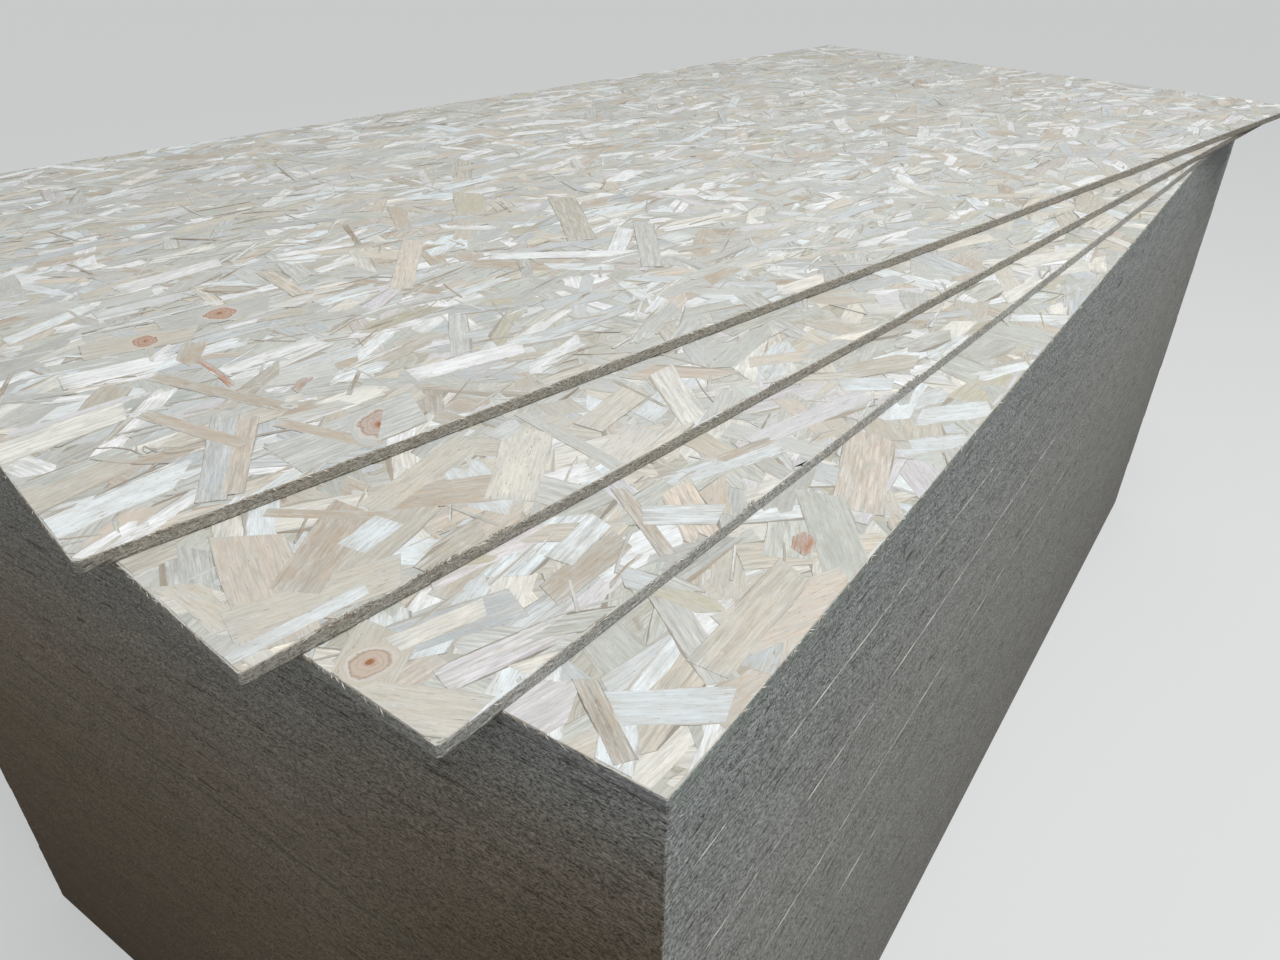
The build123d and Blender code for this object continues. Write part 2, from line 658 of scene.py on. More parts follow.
@dataclass
class StrandMat:
    """The pressed face of a panel: strands on strands, each a chip with sloped sides, cut at the rim.

    The rim is how far inside the outline a cut strand ends: the least, the most and the usual. A cell
    of the panel shows the strand that lies highest there.
    """

    board: Board
    covers: Sequence[Board]
    seed: int
    relief: float = 0.9 * MM
    chip: float = 0.4 * MM
    slope: float = 0.55 * MM
    slope_share: float = 0.08
    rim: Triple = (0.2 * MM, 2.4 * MM, 0.3 * MM)
    cell: float = 2.5 * MM
    cover_margin: float = 25 * MM
    least_cells: int = 3
    least_area: float = 12 * MM * MM
    skin: float = 0.02 * MM
    value_spread: float = 0.078
    warmth_spread: float = 0.008
    palest: float = 0.9

    def visible(self, strands: Sequence[Strand]) -> list[int]:
        """Finds the strands that others and the panels above don't hide.

        Args:
            strands: the strands, the lowest first.

        Returns:
            The numbers of those that show.
        """
        columns = int(self.board.length / self.cell) + 1
        rows = int(self.board.width / self.cell) + 1
        seen = np.full((rows, columns), -1)
        middles_along = (np.arange(columns) + 0.5) * self.cell
        middles_across = (np.arange(rows) + 0.5) * self.cell
        for number, strand in enumerate(strands):
            reach = strand.length / 2
            low = np.maximum(np.array([strand.along, strand.across]) - reach, 0) / self.cell
            high = np.maximum((np.array([strand.along, strand.across]) + reach) / self.cell + 1, 0)
            c0, r0 = low.astype(int)
            c1, r1 = high.astype(int)
            u, v = strand.directions()
            away_along = middles_along[None, c0:c1] - strand.along
            away_across = middles_across[r0:r1, None] - strand.across
            inside = np.abs(away_along * u[0] + away_across * u[1]) < reach
            inside &= np.abs(away_along * v[0] + away_across * v[1]) < strand.width / 2
            seen[r0:r1, c0:c1][inside] = number
        grid_along, grid_across = np.meshgrid(middles_along, middles_across)
        middles = self.board.to_frame(np.stack([grid_along.ravel(), grid_across.ravel()], 1))
        for cover in self.covers:
            seen[cover.holds(middles, self.cover_margin).reshape(seen.shape)] = -1
        numbers, cells = np.unique(seen[seen >= 0], return_counts=True)
        return [int(number) for number, size in zip(numbers, cells) if size >= self.least_cells]

    def tint_of(self, strand: Strand, chance: random.Random) -> np.ndarray:
        """The strand's colour, a little lighter or darker and a little warmer or cooler than its tone.

        Args:
            strand: the strand.
            chance: the source of the random numbers.

        Returns:
            The linear colour.
        """
        # The random lightness is partly the wood's own tone and partly painted sheen and shade from each
        # strand's tilt and gloss
        value = chance.gauss(1, self.value_spread)
        warmth = chance.gauss(0, self.warmth_spread)
        tint = np.array(strand.tone.value) * value * np.array([1 + warmth, 1, 1 - warmth])
        return np.clip(tint, 0, self.palest)

    def chip_on(self, maker: MeshMaker, own: np.ndarray, strand: Strand, height: float, foot: float,
                tint: np.ndarray, finish: Finish, number: float, paleness: float = 0.0) -> None:
        """Makes one chip: a flat top and sides that slope down to its foot.

        Args:
            maker: the piece that takes it.
            own: the outline in the strand's own directions.
            strand: the strand.
            height: where its top lies.
            foot: where its walls end.
            tint: its linear colour.
            finish: its finish.
            number: sets its grain apart from the next one's.
            paleness: how much a knot fades into its tint, from 0 to 1.
        """
        size = len(own)
        rings = np.vstack([drawn_in(own, min(self.slope, self.slope_share * strand.width)), own])
        flat = strand.on_board(rings)
        heights = np.repeat([height, foot], size)
        grain = np.column_stack([rings, np.full(2 * size, number)])
        reach = np.tile([strand.length / 2, strand.width / 2, paleness], (2 * size, 1))
        reach[size:, 2] = 1.0
        bake = flat / self.board.size * np.array([1, FACE_SHARE])
        first = maker.add(np.column_stack([self.board.to_frame(flat), heights]), grain, reach, tint, bake)
        maker.face(range(first, first + size), finish)
        for k in range(size):
            after = (k + 1) % size
            maker.face((first + k, first + size + k, first + size + after, first + after), finish)

    def lay(self, maker: MeshMaker, strands: Sequence[Strand], knots: Sequence[Knot]) -> None:
        """Lays the strands on the panel, and the knots on them.

        Args:
            maker: the piece that takes them.
            strands: the strands, the lowest first.
            knots: the knots.
        """
        chance = random.Random(self.seed)
        board = self.board
        middle = board.outline.mean(0)
        shown = self.visible(strands)
        for order, number in enumerate(shown):
            strand = strands[number]
            own = strand.outline()
            flat = strand.on_board(own)
            rim = chance.triangular(*self.rim)
            height = board.top - self.relief * (1 - (order + 1) / len(shown)) - self.skin
            foot = height - self.chip
            if (flat < rim).any() or (flat > board.size - rim).any():
                flat = clipped(flat, board.outline + np.sign(middle - board.outline) * rim)
                if len(flat) < 3 or area_of(flat) < self.least_area:
                    continue
                own = strand.from_board(flat)
                foot = board.top - FACE_DEPTH
            tint = self.tint_of(strand, chance)
            self.chip_on(maker, own, strand, height, foot, tint, Finish.FACE, chance.uniform(0, 100))
        height = board.top - self.skin / 2
        for knot in knots:
            self.chip_on(maker, knot.outline(), knot.as_strand(), height, height - self.chip,
                         np.array(knot.tone.value), Finish.KNOT, knot.along, knot.paleness)


@dataclass(frozen=True)
class EdgeTint:
    """The colour of the sawn edges of one pair of sides, by how deep they lie under the stack's top.

    The colours that change with depth are painted shade and painted warm bounce light, darker and
    browner lower down. Near the upright corner of low Y the same colours lie less deep than further
    along the side, which paints deeper shade there. The contrast is how strongly the cut strand ends
    stand out in the colour.
    """

    colours: tuple[Triple, ...]
    depths: tuple[float, ...]
    contrast: float = 1.0
    # Painted shade: how much deeper the colours look near the near end's low-Y corner
    corner_shade_pull: float = 0.0
    corner_depth: float = 0.045
    corner_reach: float = 0.42
    corner_fade: float = 1.5

    def at(self, depth: float, places: np.ndarray) -> np.ndarray:
        """The colours at some places of one panel's edge.

        Args:
            depth: metres under the stack's top.
            places: how far each place is from the corner, in metres across the panel.

        Returns:
            One row of linear colour for each place.
        """
        near = np.clip(1 - places / self.corner_reach, 0, 1) ** self.corner_fade
        seen_depth = depth + self.corner_shade_pull * near * max(depth - self.corner_depth, 0.0)
        return np.column_stack([np.interp(seen_depth, self.depths, row) for row in zip(*self.colours)])


class RimSide(NamedTuple):
    """One side of a panel's sawn band, by the places of its upright lines."""

    points: np.ndarray
    normals: np.ndarray
    distances: np.ndarray


@dataclass
class SawnRim:
    """The sawn edge of a panel: a band round it with pits, chipped layers and a crushed arris.

    The pits are where a slow ripple passes a level, and a quick ripple chips the wood all over. The
    crush is the least and the further wear of the arris, in shares of its size.
    """

    step: float
    rows: int
    pit_depth: float
    arris: float
    fleck_length: float
    long_tint: EdgeTint
    end_tint: EdgeTint
    top_sink: float = 0.0
    layer_height: float = 0.9 * MM
    step_slip: float = 0.35
    pit_rows: float = 0.8
    pits_from: float = 0.58
    pit_span: float = 0.42
    pit_hardness: float = 1.3
    chip_scales: tuple[float, float] = (3.1, 1.9)
    chip_share: float = 0.18
    crush: tuple[float, float] = (0.35, 1.1)
    crush_length: float = 4 * MM
    crush_row: float = 7.5
    long_side_from: float = 0.75
    map_margin: float = 0.06
    map_room: float = 1.01
    cap_map: tuple[float, float] = (0.01, 0.985)

    def sides_of(self, board: Board, chance: random.Random) -> list[RimSide]:
        """The places round the panel where the band has its upright lines.

        Args:
            board: the panel.
            chance: the source of the random numbers.

        Returns:
            The four sides, in order round the panel.
        """
        outline = board.outline
        edges = np.roll(outline, -1, 0) - outline
        lengths = np.linalg.norm(edges, axis=1)
        outward = np.stack([edges[:, 1], -edges[:, 0]], 1) / lengths[:, None]
        at_corner = outward + np.roll(outward, 1, 0)
        at_corner = at_corner / np.linalg.norm(at_corner, axis=1)[:, None]
        starts = sorted(np.argsort(lengths)[-4:])
        found = []
        for start, stop in zip(starts, starts[1:] + starts[:1]):
            points, normals, distances = [], [], []
            gone = 0.0
            edge = start
            while edge != stop:
                pieces = max(1, round(lengths[edge] / self.step))
                for k in range(pieces):
                    slip = chance.uniform(-self.step_slip, self.step_slip) if k else 0.0
                    share = (k + slip) / pieces
                    points.append(outline[edge] + share * edges[edge])
                    normals.append(outward[edge] if k else at_corner[edge])
                    distances.append(gone + share * lengths[edge])
                gone += lengths[edge]
                edge = (edge + 1) % len(outline)
            points.append(outline[stop])
            normals.append(at_corner[stop])
            distances.append(gone)
            found.append(RimSide(np.array(points), np.array(normals), np.array(distances)))
        return found

    def tint_of(self, board: Board, side: RimSide) -> EdgeTint:
        """The colours of one side. Only the near end has its own colours at the corner.

        Args:
            board: the panel.
            side: the side.

        Returns:
            The colours.
        """
        if side.distances[-1] > self.long_side_from * board.length:
            return self.long_tint
        # Only the near end keeps the painted shade that deepens near its low-Y corner
        if side.points[:, 0].mean() > board.length / 2:
            return replace(self.end_tint, corner_shade_pull=0.0)
        return self.end_tint

    def inset_at(self, around: np.ndarray, layer: np.ndarray, seed: int) -> np.ndarray:
        """How far the band's vertices lie inside the panel's outline.

        Args:
            around: their distances round the panel, in rows from the lowest up.
            layer: their heights, in layers of wood.
            seed: sets the pits and chips.

        Returns:
            The distances, in the same rows.
        """
        flecks = around / self.fleck_length
        chips = Ripple(seed + 1)
        deep = Ripple(seed).at(flecks, layer * self.pit_rows)
        fine = chips.at(flecks * self.chip_scales[0], layer * self.chip_scales[1])
        pits = np.clip((deep - self.pits_from) / self.pit_span, 0, 1) ** self.pit_hardness
        inset = self.pit_depth * pits + self.chip_share * self.pit_depth * fine
        least, further = self.crush
        crushed = chips.at(around[0] / self.crush_length, np.full(around.shape[1], self.crush_row))
        wear = self.arris * (least + further * crushed)
        inset[0] += wear
        inset[-1] += wear[::-1]
        inset[:, -1] = inset[:, -2]
        return inset

    def add_side(self, maker: MeshMaker, board: Board, side: RimSide, start: float, depth: float, seed: int,
                 number: float, map_heights: np.ndarray) -> np.ndarray:
        """Adds one side of the band.

        Args:
            maker: the piece that takes it.
            board: the panel.
            side: the side.
            start: how far round the panel it starts.
            depth: how deep the panel lies under the stack's top.
            seed: sets the pits and chips.
            number: sets its grain apart from the next side's.
            map_heights: where each row lies on the piece's flat map.

        Returns:
            The X, Y and Z of its vertices, row by row from the lowest up.
        """
        count = len(side.points)
        share = np.linspace(0, 1, self.rows + 1)
        z = np.repeat((board.bottom + share * (board.thickness - self.top_sink))[:, None], count, 1)
        rise = z - board.bottom
        around = np.repeat(side.distances[None, :] + start, self.rows + 1, 0)
        inset = self.inset_at(around, rise / self.layer_height, seed)
        flat = side.points[None, :, :] - side.normals[None, :, :] * inset[:, :, None]
        places = np.column_stack([board.to_frame(flat.reshape(-1, 2)), z.ravel()])
        grain = np.column_stack([around.ravel(), rise.ravel(), np.full(z.size, number)])
        edge_tint = self.tint_of(board, side)
        # On the buried panels these colours hold painted shade: darker and browner lower down
        tint = edge_tint.at(depth, flat[..., 1].ravel())
        # How deep each vertex is inset; the edge finish paints the pits dark as painted shade
        hollow = (inset / self.pit_depth).ravel()
        reach = np.column_stack([np.full(z.size, edge_tint.contrast), np.zeros(z.size), hollow])
        map_grid = np.meshgrid(side.distances / (board.length * self.map_room), map_heights)
        first = maker.add(places, grain, reach, tint, np.column_stack([part.ravel() for part in map_grid]))
        for row in range(self.rows):
            for k in range(count - 1):
                low = first + row * count + k
                maker.face((low, low + 1, low + count + 1, low + count), Finish.SAWN)
        return places

    def build(self, maker: MeshMaker, board: Board, depth: float, seed: int, map_low: float,
              map_step: float, cap_tint: np.ndarray) -> None:
        """Builds the band, and closes the panel above and below.

        Args:
            maker: the piece that takes it.
            board: the panel.
            depth: how deep the panel lies under the stack's top.
            seed: sets the pits and chips.
            map_low: where on the piece's flat map the panel's first side starts.
            map_step: the height that each side takes there.
            cap_tint: the linear colour of the faces, darkened as painted shade on the buried panels.
        """
        chance = random.Random(seed)
        map_rows = self.map_margin + (1 - 2 * self.map_margin) * np.linspace(0, 1, self.rows + 1)
        lowest, highest = [], []
        start = 0.0
        for place, side in enumerate(self.sides_of(board, chance)):
            map_heights = map_low + map_step * (place + map_rows)
            number = chance.uniform(0, 100)
            places = self.add_side(maker, board, side, start, depth, seed, number, map_heights)
            count = len(side.points)
            lowest.append(places[:count - 1])
            highest.append(places[self.rows * count:-1])
            start += side.distances[-1]
        self.cap(maker, board, np.concatenate(lowest)[::-1], cap_tint)
        self.cap(maker, board, np.concatenate(highest), cap_tint)

    def cap(self, maker: MeshMaker, board: Board, places: np.ndarray, tint: np.ndarray) -> None:
        """Closes the panel with one flat face.

        Args:
            maker: the piece that takes it.
            board: the panel.
            places: the X, Y and Z of the band's vertices round that face.
            tint: its linear colour, with painted shade on the buried panels.
        """
        flat = board.to_board(places[:, :2])
        grain = np.column_stack([flat, np.zeros(len(flat))])
        map_size, map_start = self.cap_map
        bake = flat / board.size * map_size + map_start
        first = maker.add(places, grain, np.append(board.size, 0.0), tint, bake)
        maker.face(range(first, first + len(places)), Finish.HIDDEN)


@dataclass(frozen=True)
class Splinter:
    """A torn sliver of wood: a thin spindle between two tips."""

    start: np.ndarray
    end: np.ndarray
    thickness: float
    tone: Tone
    belly: float = 0.42
    grain_along: tuple[float, ...] = (0, 0.4, 0.4, 0.4, 1)
    grain_across: tuple[float, ...] = (0, 0, 1, 2, 0)
    grain_number: float = 3.0

    @classmethod
    def on(cls, board: Board, ends: Sequence[np.ndarray], heights: Sequence[float], thickness: float,
           tone: Tone) -> "Splinter":
        """A splinter over two places on a panel.

        Args:
            board: the panel.
            ends: the places of its tips, in metres along and across the panel.
            heights: the heights of its tips.
            thickness: its thickness.
            tone: its colour.

        Returns:
            The splinter.
        """
        start, end = np.column_stack([board.to_frame(np.stack(ends)), heights])
        return cls(start, end, thickness, tone)

    def add_to(self, maker: MeshMaker, bake_place: Sequence[float]) -> None:
        """Adds the splinter to a piece.

        Args:
            maker: the piece that takes it.
            bake_place: where it lies on the piece's flat map.
        """
        run = self.end - self.start
        length = float(np.linalg.norm(run))
        run = run / length
        side = np.cross(run, (0.0, 0.0, 1.0))
        side = side / max(float(np.linalg.norm(side)), TINY)
        up = np.cross(side, run)
        belly = self.start + self.belly * length * run
        turns = math.tau * np.arange(3) / 3
        round_it = (np.cos(turns)[:, None] * side + np.sin(turns)[:, None] * up) * self.thickness / 2
        places = np.vstack([self.start, belly + round_it, self.end])
        along = np.array(self.grain_along) * length
        across = np.array(self.grain_across) * MM
        grain = np.column_stack([along, across, np.full(len(places), self.grain_number)])
        far_from_edges = np.array([1.0, 1.0, 0.0])
        first = maker.add(places, grain, far_from_edges, np.array(self.tone.value), np.array(bake_place))
        for k in range(3):
            after = (k + 1) % 3
            maker.face((first, first + 1 + after, first + 1 + k), Finish.FACE)
            maker.face((first + 4, first + 1 + k, first + 1 + after), Finish.FACE)


@dataclass(frozen=True)
class Tuft:
    """A thick tuft of short fibres on a stretch of a panel's near long side, in millimetres.

    Pairs are the least and the most, and threes have the usual as well.
    """

    start: float
    end: float
    spacing: float = 0.5
    inside: Triple = (0.2, 2.0, 0.5)
    drift: float = 1.6
    lean: tuple[float, float] = (-3.0, 1.2)
    furthest_out: float = 2.4
    thickness: tuple[float, float] = (0.5, 1.0)
    sink: float = 0.3
    droop: float = 1.0
    rise: float = 3.2
    usual_rise: float = 0.4
    tones: tuple[Tone, ...] = (Tone.BARK, Tone.BARK, Tone.BARK, Tone.TAN, Tone.WARM_WHITE)

    def add_to(self, maker: MeshMaker, board: Board, chance: random.Random) -> None:
        """Adds the fibres to the panel's piece. None stands up past the top of the stack.

        Args:
            maker: the piece that takes them.
            board: the panel.
            chance: the source of the random numbers.
        """
        room = min(self.rise * MM, CAD_HIGH.z - board.top)
        for _ in range(round((self.end - self.start) / self.spacing)):
            first = np.array([chance.uniform(self.start, self.end), chance.triangular(*self.inside)]) * MM
            last = first + np.array([chance.gauss(0, self.drift), chance.uniform(*self.lean)]) * MM
            last[1] = max(last[1], -self.furthest_out * MM)
            thickness = chance.uniform(*self.thickness) * MM
            root = board.top - thickness / 2 - chance.uniform(0, self.sink) * MM
            tip = root + chance.triangular(-self.droop * MM, room, self.usual_rise * room)
            bake = np.array([first[0] / board.length, MAP_EDGE]).clip(MAP_EDGE, 1 - MAP_EDGE) * MAP_OF_FACE
            fibre = Splinter.on(board, (first, last), (root, tip), thickness, chance.choice(self.tones))
            fibre.add_to(maker, bake)


@dataclass
class EdgeSplinters:
    """Splinters torn loose along the upper arris of a panel.

    Pairs are the least and the most, and threes have the usual as well. The inside, the sink and the
    droop are in millimetres, and the lean in degrees.
    """

    board: Board
    seed: int
    tufts: Sequence[Tuft] = ()
    spacing: float = 6 * MM
    length: Triple = (2.5 * MM, 15 * MM, 4.5 * MM)
    thickness: tuple[float, float] = (0.4 * MM, 1.1 * MM)
    slimness: float = 6
    furthest_out: float = 2.4 * MM
    from_corner: float = 45 * MM
    lean: float = 24
    inside: tuple[float, float] = (-0.1, 0.8)
    sink: float = 0.5
    droop: Triple = (0, 3.2, 0.4)
    tones: tuple[Tone, ...] = (Tone.COOL_WHITE, Tone.WARM_WHITE, Tone.BEIGE, Tone.TAN, Tone.BARK, Tone.BARK)

    def add_one(self, maker: MeshMaker, start: np.ndarray, along: np.ndarray, side_length: float,
                chance: random.Random) -> None:
        """Adds one splinter somewhere along a side.

        Args:
            maker: the piece that takes it.
            start: the corner where the side starts.
            along: the side's direction.
            side_length: its length.
            chance: the source of the random numbers.
        """
        board = self.board
        outward = np.array([along[1], -along[0]])
        place = start + along * chance.uniform(self.from_corner, side_length - self.from_corner)
        length = chance.triangular(*self.length)
        lean = math.radians(chance.gauss(0, self.lean) + chance.choice((0, 180)))
        first = place - outward * chance.uniform(*self.inside) * MM
        last = first + (along * math.cos(lean) + outward * abs(math.sin(lean))) * length
        past = max(0.0, float((last - place) @ outward) - self.furthest_out)
        last = last - outward * past
        thickness = min(chance.uniform(*self.thickness), length / self.slimness)
        high = board.top - thickness / 2 - chance.uniform(0, self.sink) * MM
        low = high - chance.triangular(*self.droop) * MM
        bake = (place / board.size).clip(MAP_EDGE, 1 - MAP_EDGE) * MAP_OF_FACE
        splinter = Splinter.on(board, (first, last), (high, low), thickness, chance.choice(self.tones))
        splinter.add_to(maker, bake)

    def add_to(self, maker: MeshMaker) -> None:
        """Adds the splinters and the tufts to the panel's piece.

        Args:
            maker: the piece that takes them.
        """
        chance = random.Random(self.seed)
        corners = np.array([[0, 0], [1, 0], [1, 1], [0, 1]]) * self.board.size
        for start, stop in zip(corners, np.roll(corners, -1, 0)):
            side_length = float(np.linalg.norm(stop - start))
            along = (stop - start) / side_length
            for _ in range(round(side_length / self.spacing)):
                self.add_one(maker, start, along, side_length, chance)
        for tuft in self.tufts:
            tuft.add_to(maker, self.board, chance)


class Sketch:
    """A short way to write a shader: makes nodes in one tree and joins their sockets."""

    def __init__(self, tree: bpy.types.NodeTree) -> None:
        """Keeps the tree that the nodes go into."""
        self.tree = tree

    def node(self, kind: str, inputs: Optional[dict] = None, **settings: object) -> bpy.types.Node:
        """Makes a node.

        Args:
            kind: the node's type.
            inputs: a value, or another node's output, for each named or numbered input.
            **settings: the node's own properties.

        Returns:
            The node.
        """
        made = self.tree.nodes.new(kind)
        for name, value in settings.items():
            setattr(made, name, value)
        for key, value in (inputs or {}).items():
            if isinstance(value, bpy.types.NodeSocket):
                self.tree.links.new(value, made.inputs[key])
            else:
                made.inputs[key].default_value = value
        return made

    def math(self, operation: str, first: object, second: object = 0.0, third: object = 0.0) -> Socket:
        """One sum on values.

        Args:
            operation: Blender's name of it.
            first: the first value or socket.
            second: the second value or socket.
            third: the third value or socket.

        Returns:
            The output socket.
        """
        inputs = {0: first, 1: second, 2: third}
        return self.node("ShaderNodeMath", inputs, operation=operation).outputs[0]

    def span(self, value: Socket, low: float, high: float, to_low: float = 0.0,
             to_high: float = 1.0) -> Socket:
        """Maps a range of values smoothly onto another.

        Args:
            value: the values.
            low: where the range starts.
            high: where it ends.
            to_low: what the start becomes.
            to_high: what the end becomes.

        Returns:
            The output socket.
        """
        inputs = {0: value, 1: low, 2: high, 3: to_low, 4: to_high}
        return self.node("ShaderNodeMapRange", inputs, interpolation_type="SMOOTHSTEP").outputs[0]

    def mix(self, share: object, first: object, second: object, blend: str = "MIX") -> Socket:
        """Mixes two colours.

        Args:
            share: how much of the second one.
            first: the first colour or socket.
            second: the second colour or socket.
            blend: how they mix.

        Returns:
            The output socket.
        """
        colours = [(*colour, 1) if isinstance(colour, tuple) else colour for colour in (first, second)]
        inputs = {0: share, 6: colours[0], 7: colours[1]}
        return self.node("ShaderNodeMix", inputs, data_type="RGBA", blend_type=blend).outputs[2]

    def shaded(self, colour: Socket, shade: Socket) -> Socket:
        """A colour made lighter or darker by a value."""
        grey = self.node("ShaderNodeCombineColor", {0: shade, 1: shade, 2: shade}).outputs[0]
        return self.mix(1.0, colour, grey, "MULTIPLY")

    def attribute(self, name: str, output: str = "Vector") -> Socket:
        """A mesh attribute's socket."""
        made = self.node("ShaderNodeAttribute", attribute_name=name, attribute_type="GEOMETRY")
        return made.outputs[output]

    def parts(self, vector: Socket) -> Sequence[Socket]:
        """The three parts of a vector."""
        return self.node("ShaderNodeSeparateXYZ", {0: vector}).outputs

    def stretched(self, place: Socket, scales: Triple) -> Socket:
        """Coordinates scaled apart in each direction."""
        return self.node("ShaderNodeVectorMath", {0: place, 1: scales}, operation="MULTIPLY").outputs[0]

    def noise(self, place: Socket, scales: Triple, detail: float = 3.0, rough: float = 0.55,
              twist: float = 0.0) -> Socket:
        """Noise over a place, from 0 to 1.

        Args:
            place: the coordinates.
            scales: how many times it wavers in each metre, in each direction.
            detail: how many finer layers it has.
            rough: how strong they are.
            twist: how much it is distorted.

        Returns:
            The output socket.
        """
        inputs = {"Vector": self.stretched(place, scales), "Scale": 1.0, "Detail": detail,
                  "Roughness": rough, "Distortion": twist}
        return self.node("ShaderNodeTexNoise", inputs).outputs[0]

    def seen_directly(self) -> Socket:
        """1 where the camera sees the surface, straight or in a mirror, and 0 where light only meets it."""
        rays = self.node("ShaderNodeLightPath").outputs
        return self.math("MAXIMUM", rays["Is Camera Ray"], rays["Is Glossy Ray"])


FLOAT = "NodeSocketFloat"
VECTOR = "NodeSocketVector"


@dataclass(frozen=True)
class ShaderGroup:
    """A shader node group: built once, and placed in each material with its own values.

    Each input has its socket type and first value, or None. Each output is a value.
    """

    name: ClassVar[str]
    inputs: ClassVar[dict[str, tuple[str, Optional[float]]]]
    outputs: ClassVar[tuple[str, ...]]

    def draw(self, sketch: Sketch, given: Sockets) -> dict[str, Socket]:
        """Draws the inside of the group. Each group has its own way.

        Args:
            sketch: the group's sketch.
            given: the group's inputs, by name.

        Returns:
            The group's outputs, by name.
        """
        raise NotImplementedError

    def tree(self) -> bpy.types.NodeTree:
        """Builds the group, unless it is there.

        Returns:
            The group.
        """
        if self.name in bpy.data.node_groups:
            return bpy.data.node_groups[self.name]
        tree = bpy.data.node_groups.new(self.name, "ShaderNodeTree")
        for name, (kind, value) in self.inputs.items():
            socket = tree.interface.new_socket(name, in_out="INPUT", socket_type=kind)
            if value is not None:
                socket.default_value = value
        for name in self.outputs:
            tree.interface.new_socket(name, in_out="OUTPUT", socket_type=FLOAT)
        sketch = Sketch(tree)
        sketch.node("NodeGroupOutput", self.draw(sketch, sketch.node("NodeGroupInput").outputs))
        return tree

    def placed(self, sketch: Sketch, inputs: dict[str, object]) -> Sockets:
        """Places the group in a material, and gives its outputs."""
        return sketch.node("ShaderNodeGroup", inputs, node_tree=self.tree()).outputs


@dataclass(frozen=True)
class WoodGrain(ShaderGroup):
    """Fibres and growth rings that run along a piece of wood."""

    name = "wood_grain"
    inputs = {"Grain": (VECTOR, None)}
    outputs = ("Fibre", "Streak", "Mottle", "Blotch", "Rings", "Ticks", "Height")
    ring_count: float = 190.0
    ring_drift: float = 7.0
    ring_shift: float = 11.3

    def draw(self, sketch: Sketch, given: Sockets) -> dict[str, Socket]:
        """Draws the grain.

        Args:
            sketch: the group's sketch.
            given: the group's inputs, by name.

        Returns:
            The group's outputs, by name.
        """
        grain = given["Grain"]
        fibre = sketch.noise(grain, (45, 1300, 3.1), detail=3, rough=0.65)
        streak = sketch.noise(grain, (24, 300, 2.7), detail=4, rough=0.68, twist=0.3)
        mottle = sketch.noise(grain, (30, 75, 5.1), detail=4, rough=0.6, twist=0.8)
        blotch = sketch.noise(grain, (60, 230, 8.3), detail=5, rough=0.72, twist=1.2)
        ticks = sketch.span(sketch.noise(grain, (150, 900, 9.3), detail=1, rough=0.5), 0.67, 0.77)
        drift = sketch.noise(grain, (9, 60, 5.7), detail=2, twist=0.6)
        _, across, number = sketch.parts(grain)
        turns = sketch.math("MULTIPLY", across, self.ring_count)
        turns = sketch.math("MULTIPLY_ADD", drift, self.ring_drift, turns)
        turns = sketch.math("MULTIPLY_ADD", number, self.ring_shift, turns)
        saw = sketch.math("FRACT", turns)
        rings = sketch.math("MULTIPLY", sketch.span(saw, 0.35, 0.92), sketch.span(saw, 1.0, 0.92))
        rings = sketch.math("MULTIPLY", rings, sketch.span(mottle, 0.35, 0.6, 0.2, 1.0))
        height = sketch.math("MULTIPLY_ADD", streak, 0.9, fibre)
        height = sketch.math("MULTIPLY_ADD", rings, 0.4, height)
        return {"Fibre": fibre, "Streak": streak, "Mottle": mottle, "Blotch": blotch, "Rings": rings,
                "Ticks": ticks, "Height": height}


@dataclass(frozen=True)
class ChipOutline(ShaderGroup):
    """The edge of a chip of wood: a thin broken line of glue and shade, and the frayed wood inside it."""

    name = "chip_outline"
    inputs = {"Grain": (VECTOR, None), "Reach": (VECTOR, None), "Width": (FLOAT, 1.2 * MM)}
    outputs = ("Line", "Fray")
    end_fray: float = 14 * MM
    side_fray: float = 2.2 * MM
    fibre_pull: float = 4.5

    def draw(self, sketch: Sketch, given: Sockets) -> dict[str, Socket]:
        """Draws the line and the fray.

        Args:
            sketch: the group's sketch.
            given: the group's inputs, by name.

        Returns:
            The group's outputs, by name.
        """
        grain = sketch.parts(given["Grain"])
        reach = sketch.parts(given["Reach"])
        to_end = sketch.math("SUBTRACT", reach[0], sketch.math("ABSOLUTE", grain[0]))
        to_side = sketch.math("SUBTRACT", reach[1], sketch.math("ABSOLUTE", grain[1]))
        nearest = sketch.math("MINIMUM", to_end, to_side)
        uneven = sketch.noise(given["Grain"], (90, 160, 2.3), detail=2)
        width = sketch.math("MULTIPLY", given["Width"], sketch.span(uneven, 0.35, 0.7, 0.15, 1.6))
        line = sketch.span(sketch.math("SUBTRACT", 1.0, sketch.math("DIVIDE", nearest, width)), 0.0, 1.0)
        long_fibres = sketch.noise(given["Grain"], (22, 420, 6.1), detail=3, rough=0.6)
        short_fibres = sketch.noise(given["Grain"], (70, 380, 4.7), detail=3, rough=0.6)
        ends = sketch.math("DIVIDE", to_end, self.end_fray)
        sides = sketch.math("DIVIDE", to_side, self.side_fray)
        ends = sketch.math("MULTIPLY_ADD", long_fibres, self.fibre_pull, ends)
        sides = sketch.math("MULTIPLY_ADD", short_fibres, self.fibre_pull, sides)
        fray = sketch.span(sketch.math("MINIMUM", ends, sides), 3.1, 2.3)
        return {"Line": sketch.math("MAXIMUM", line, reach[2]), "Fray": fray}


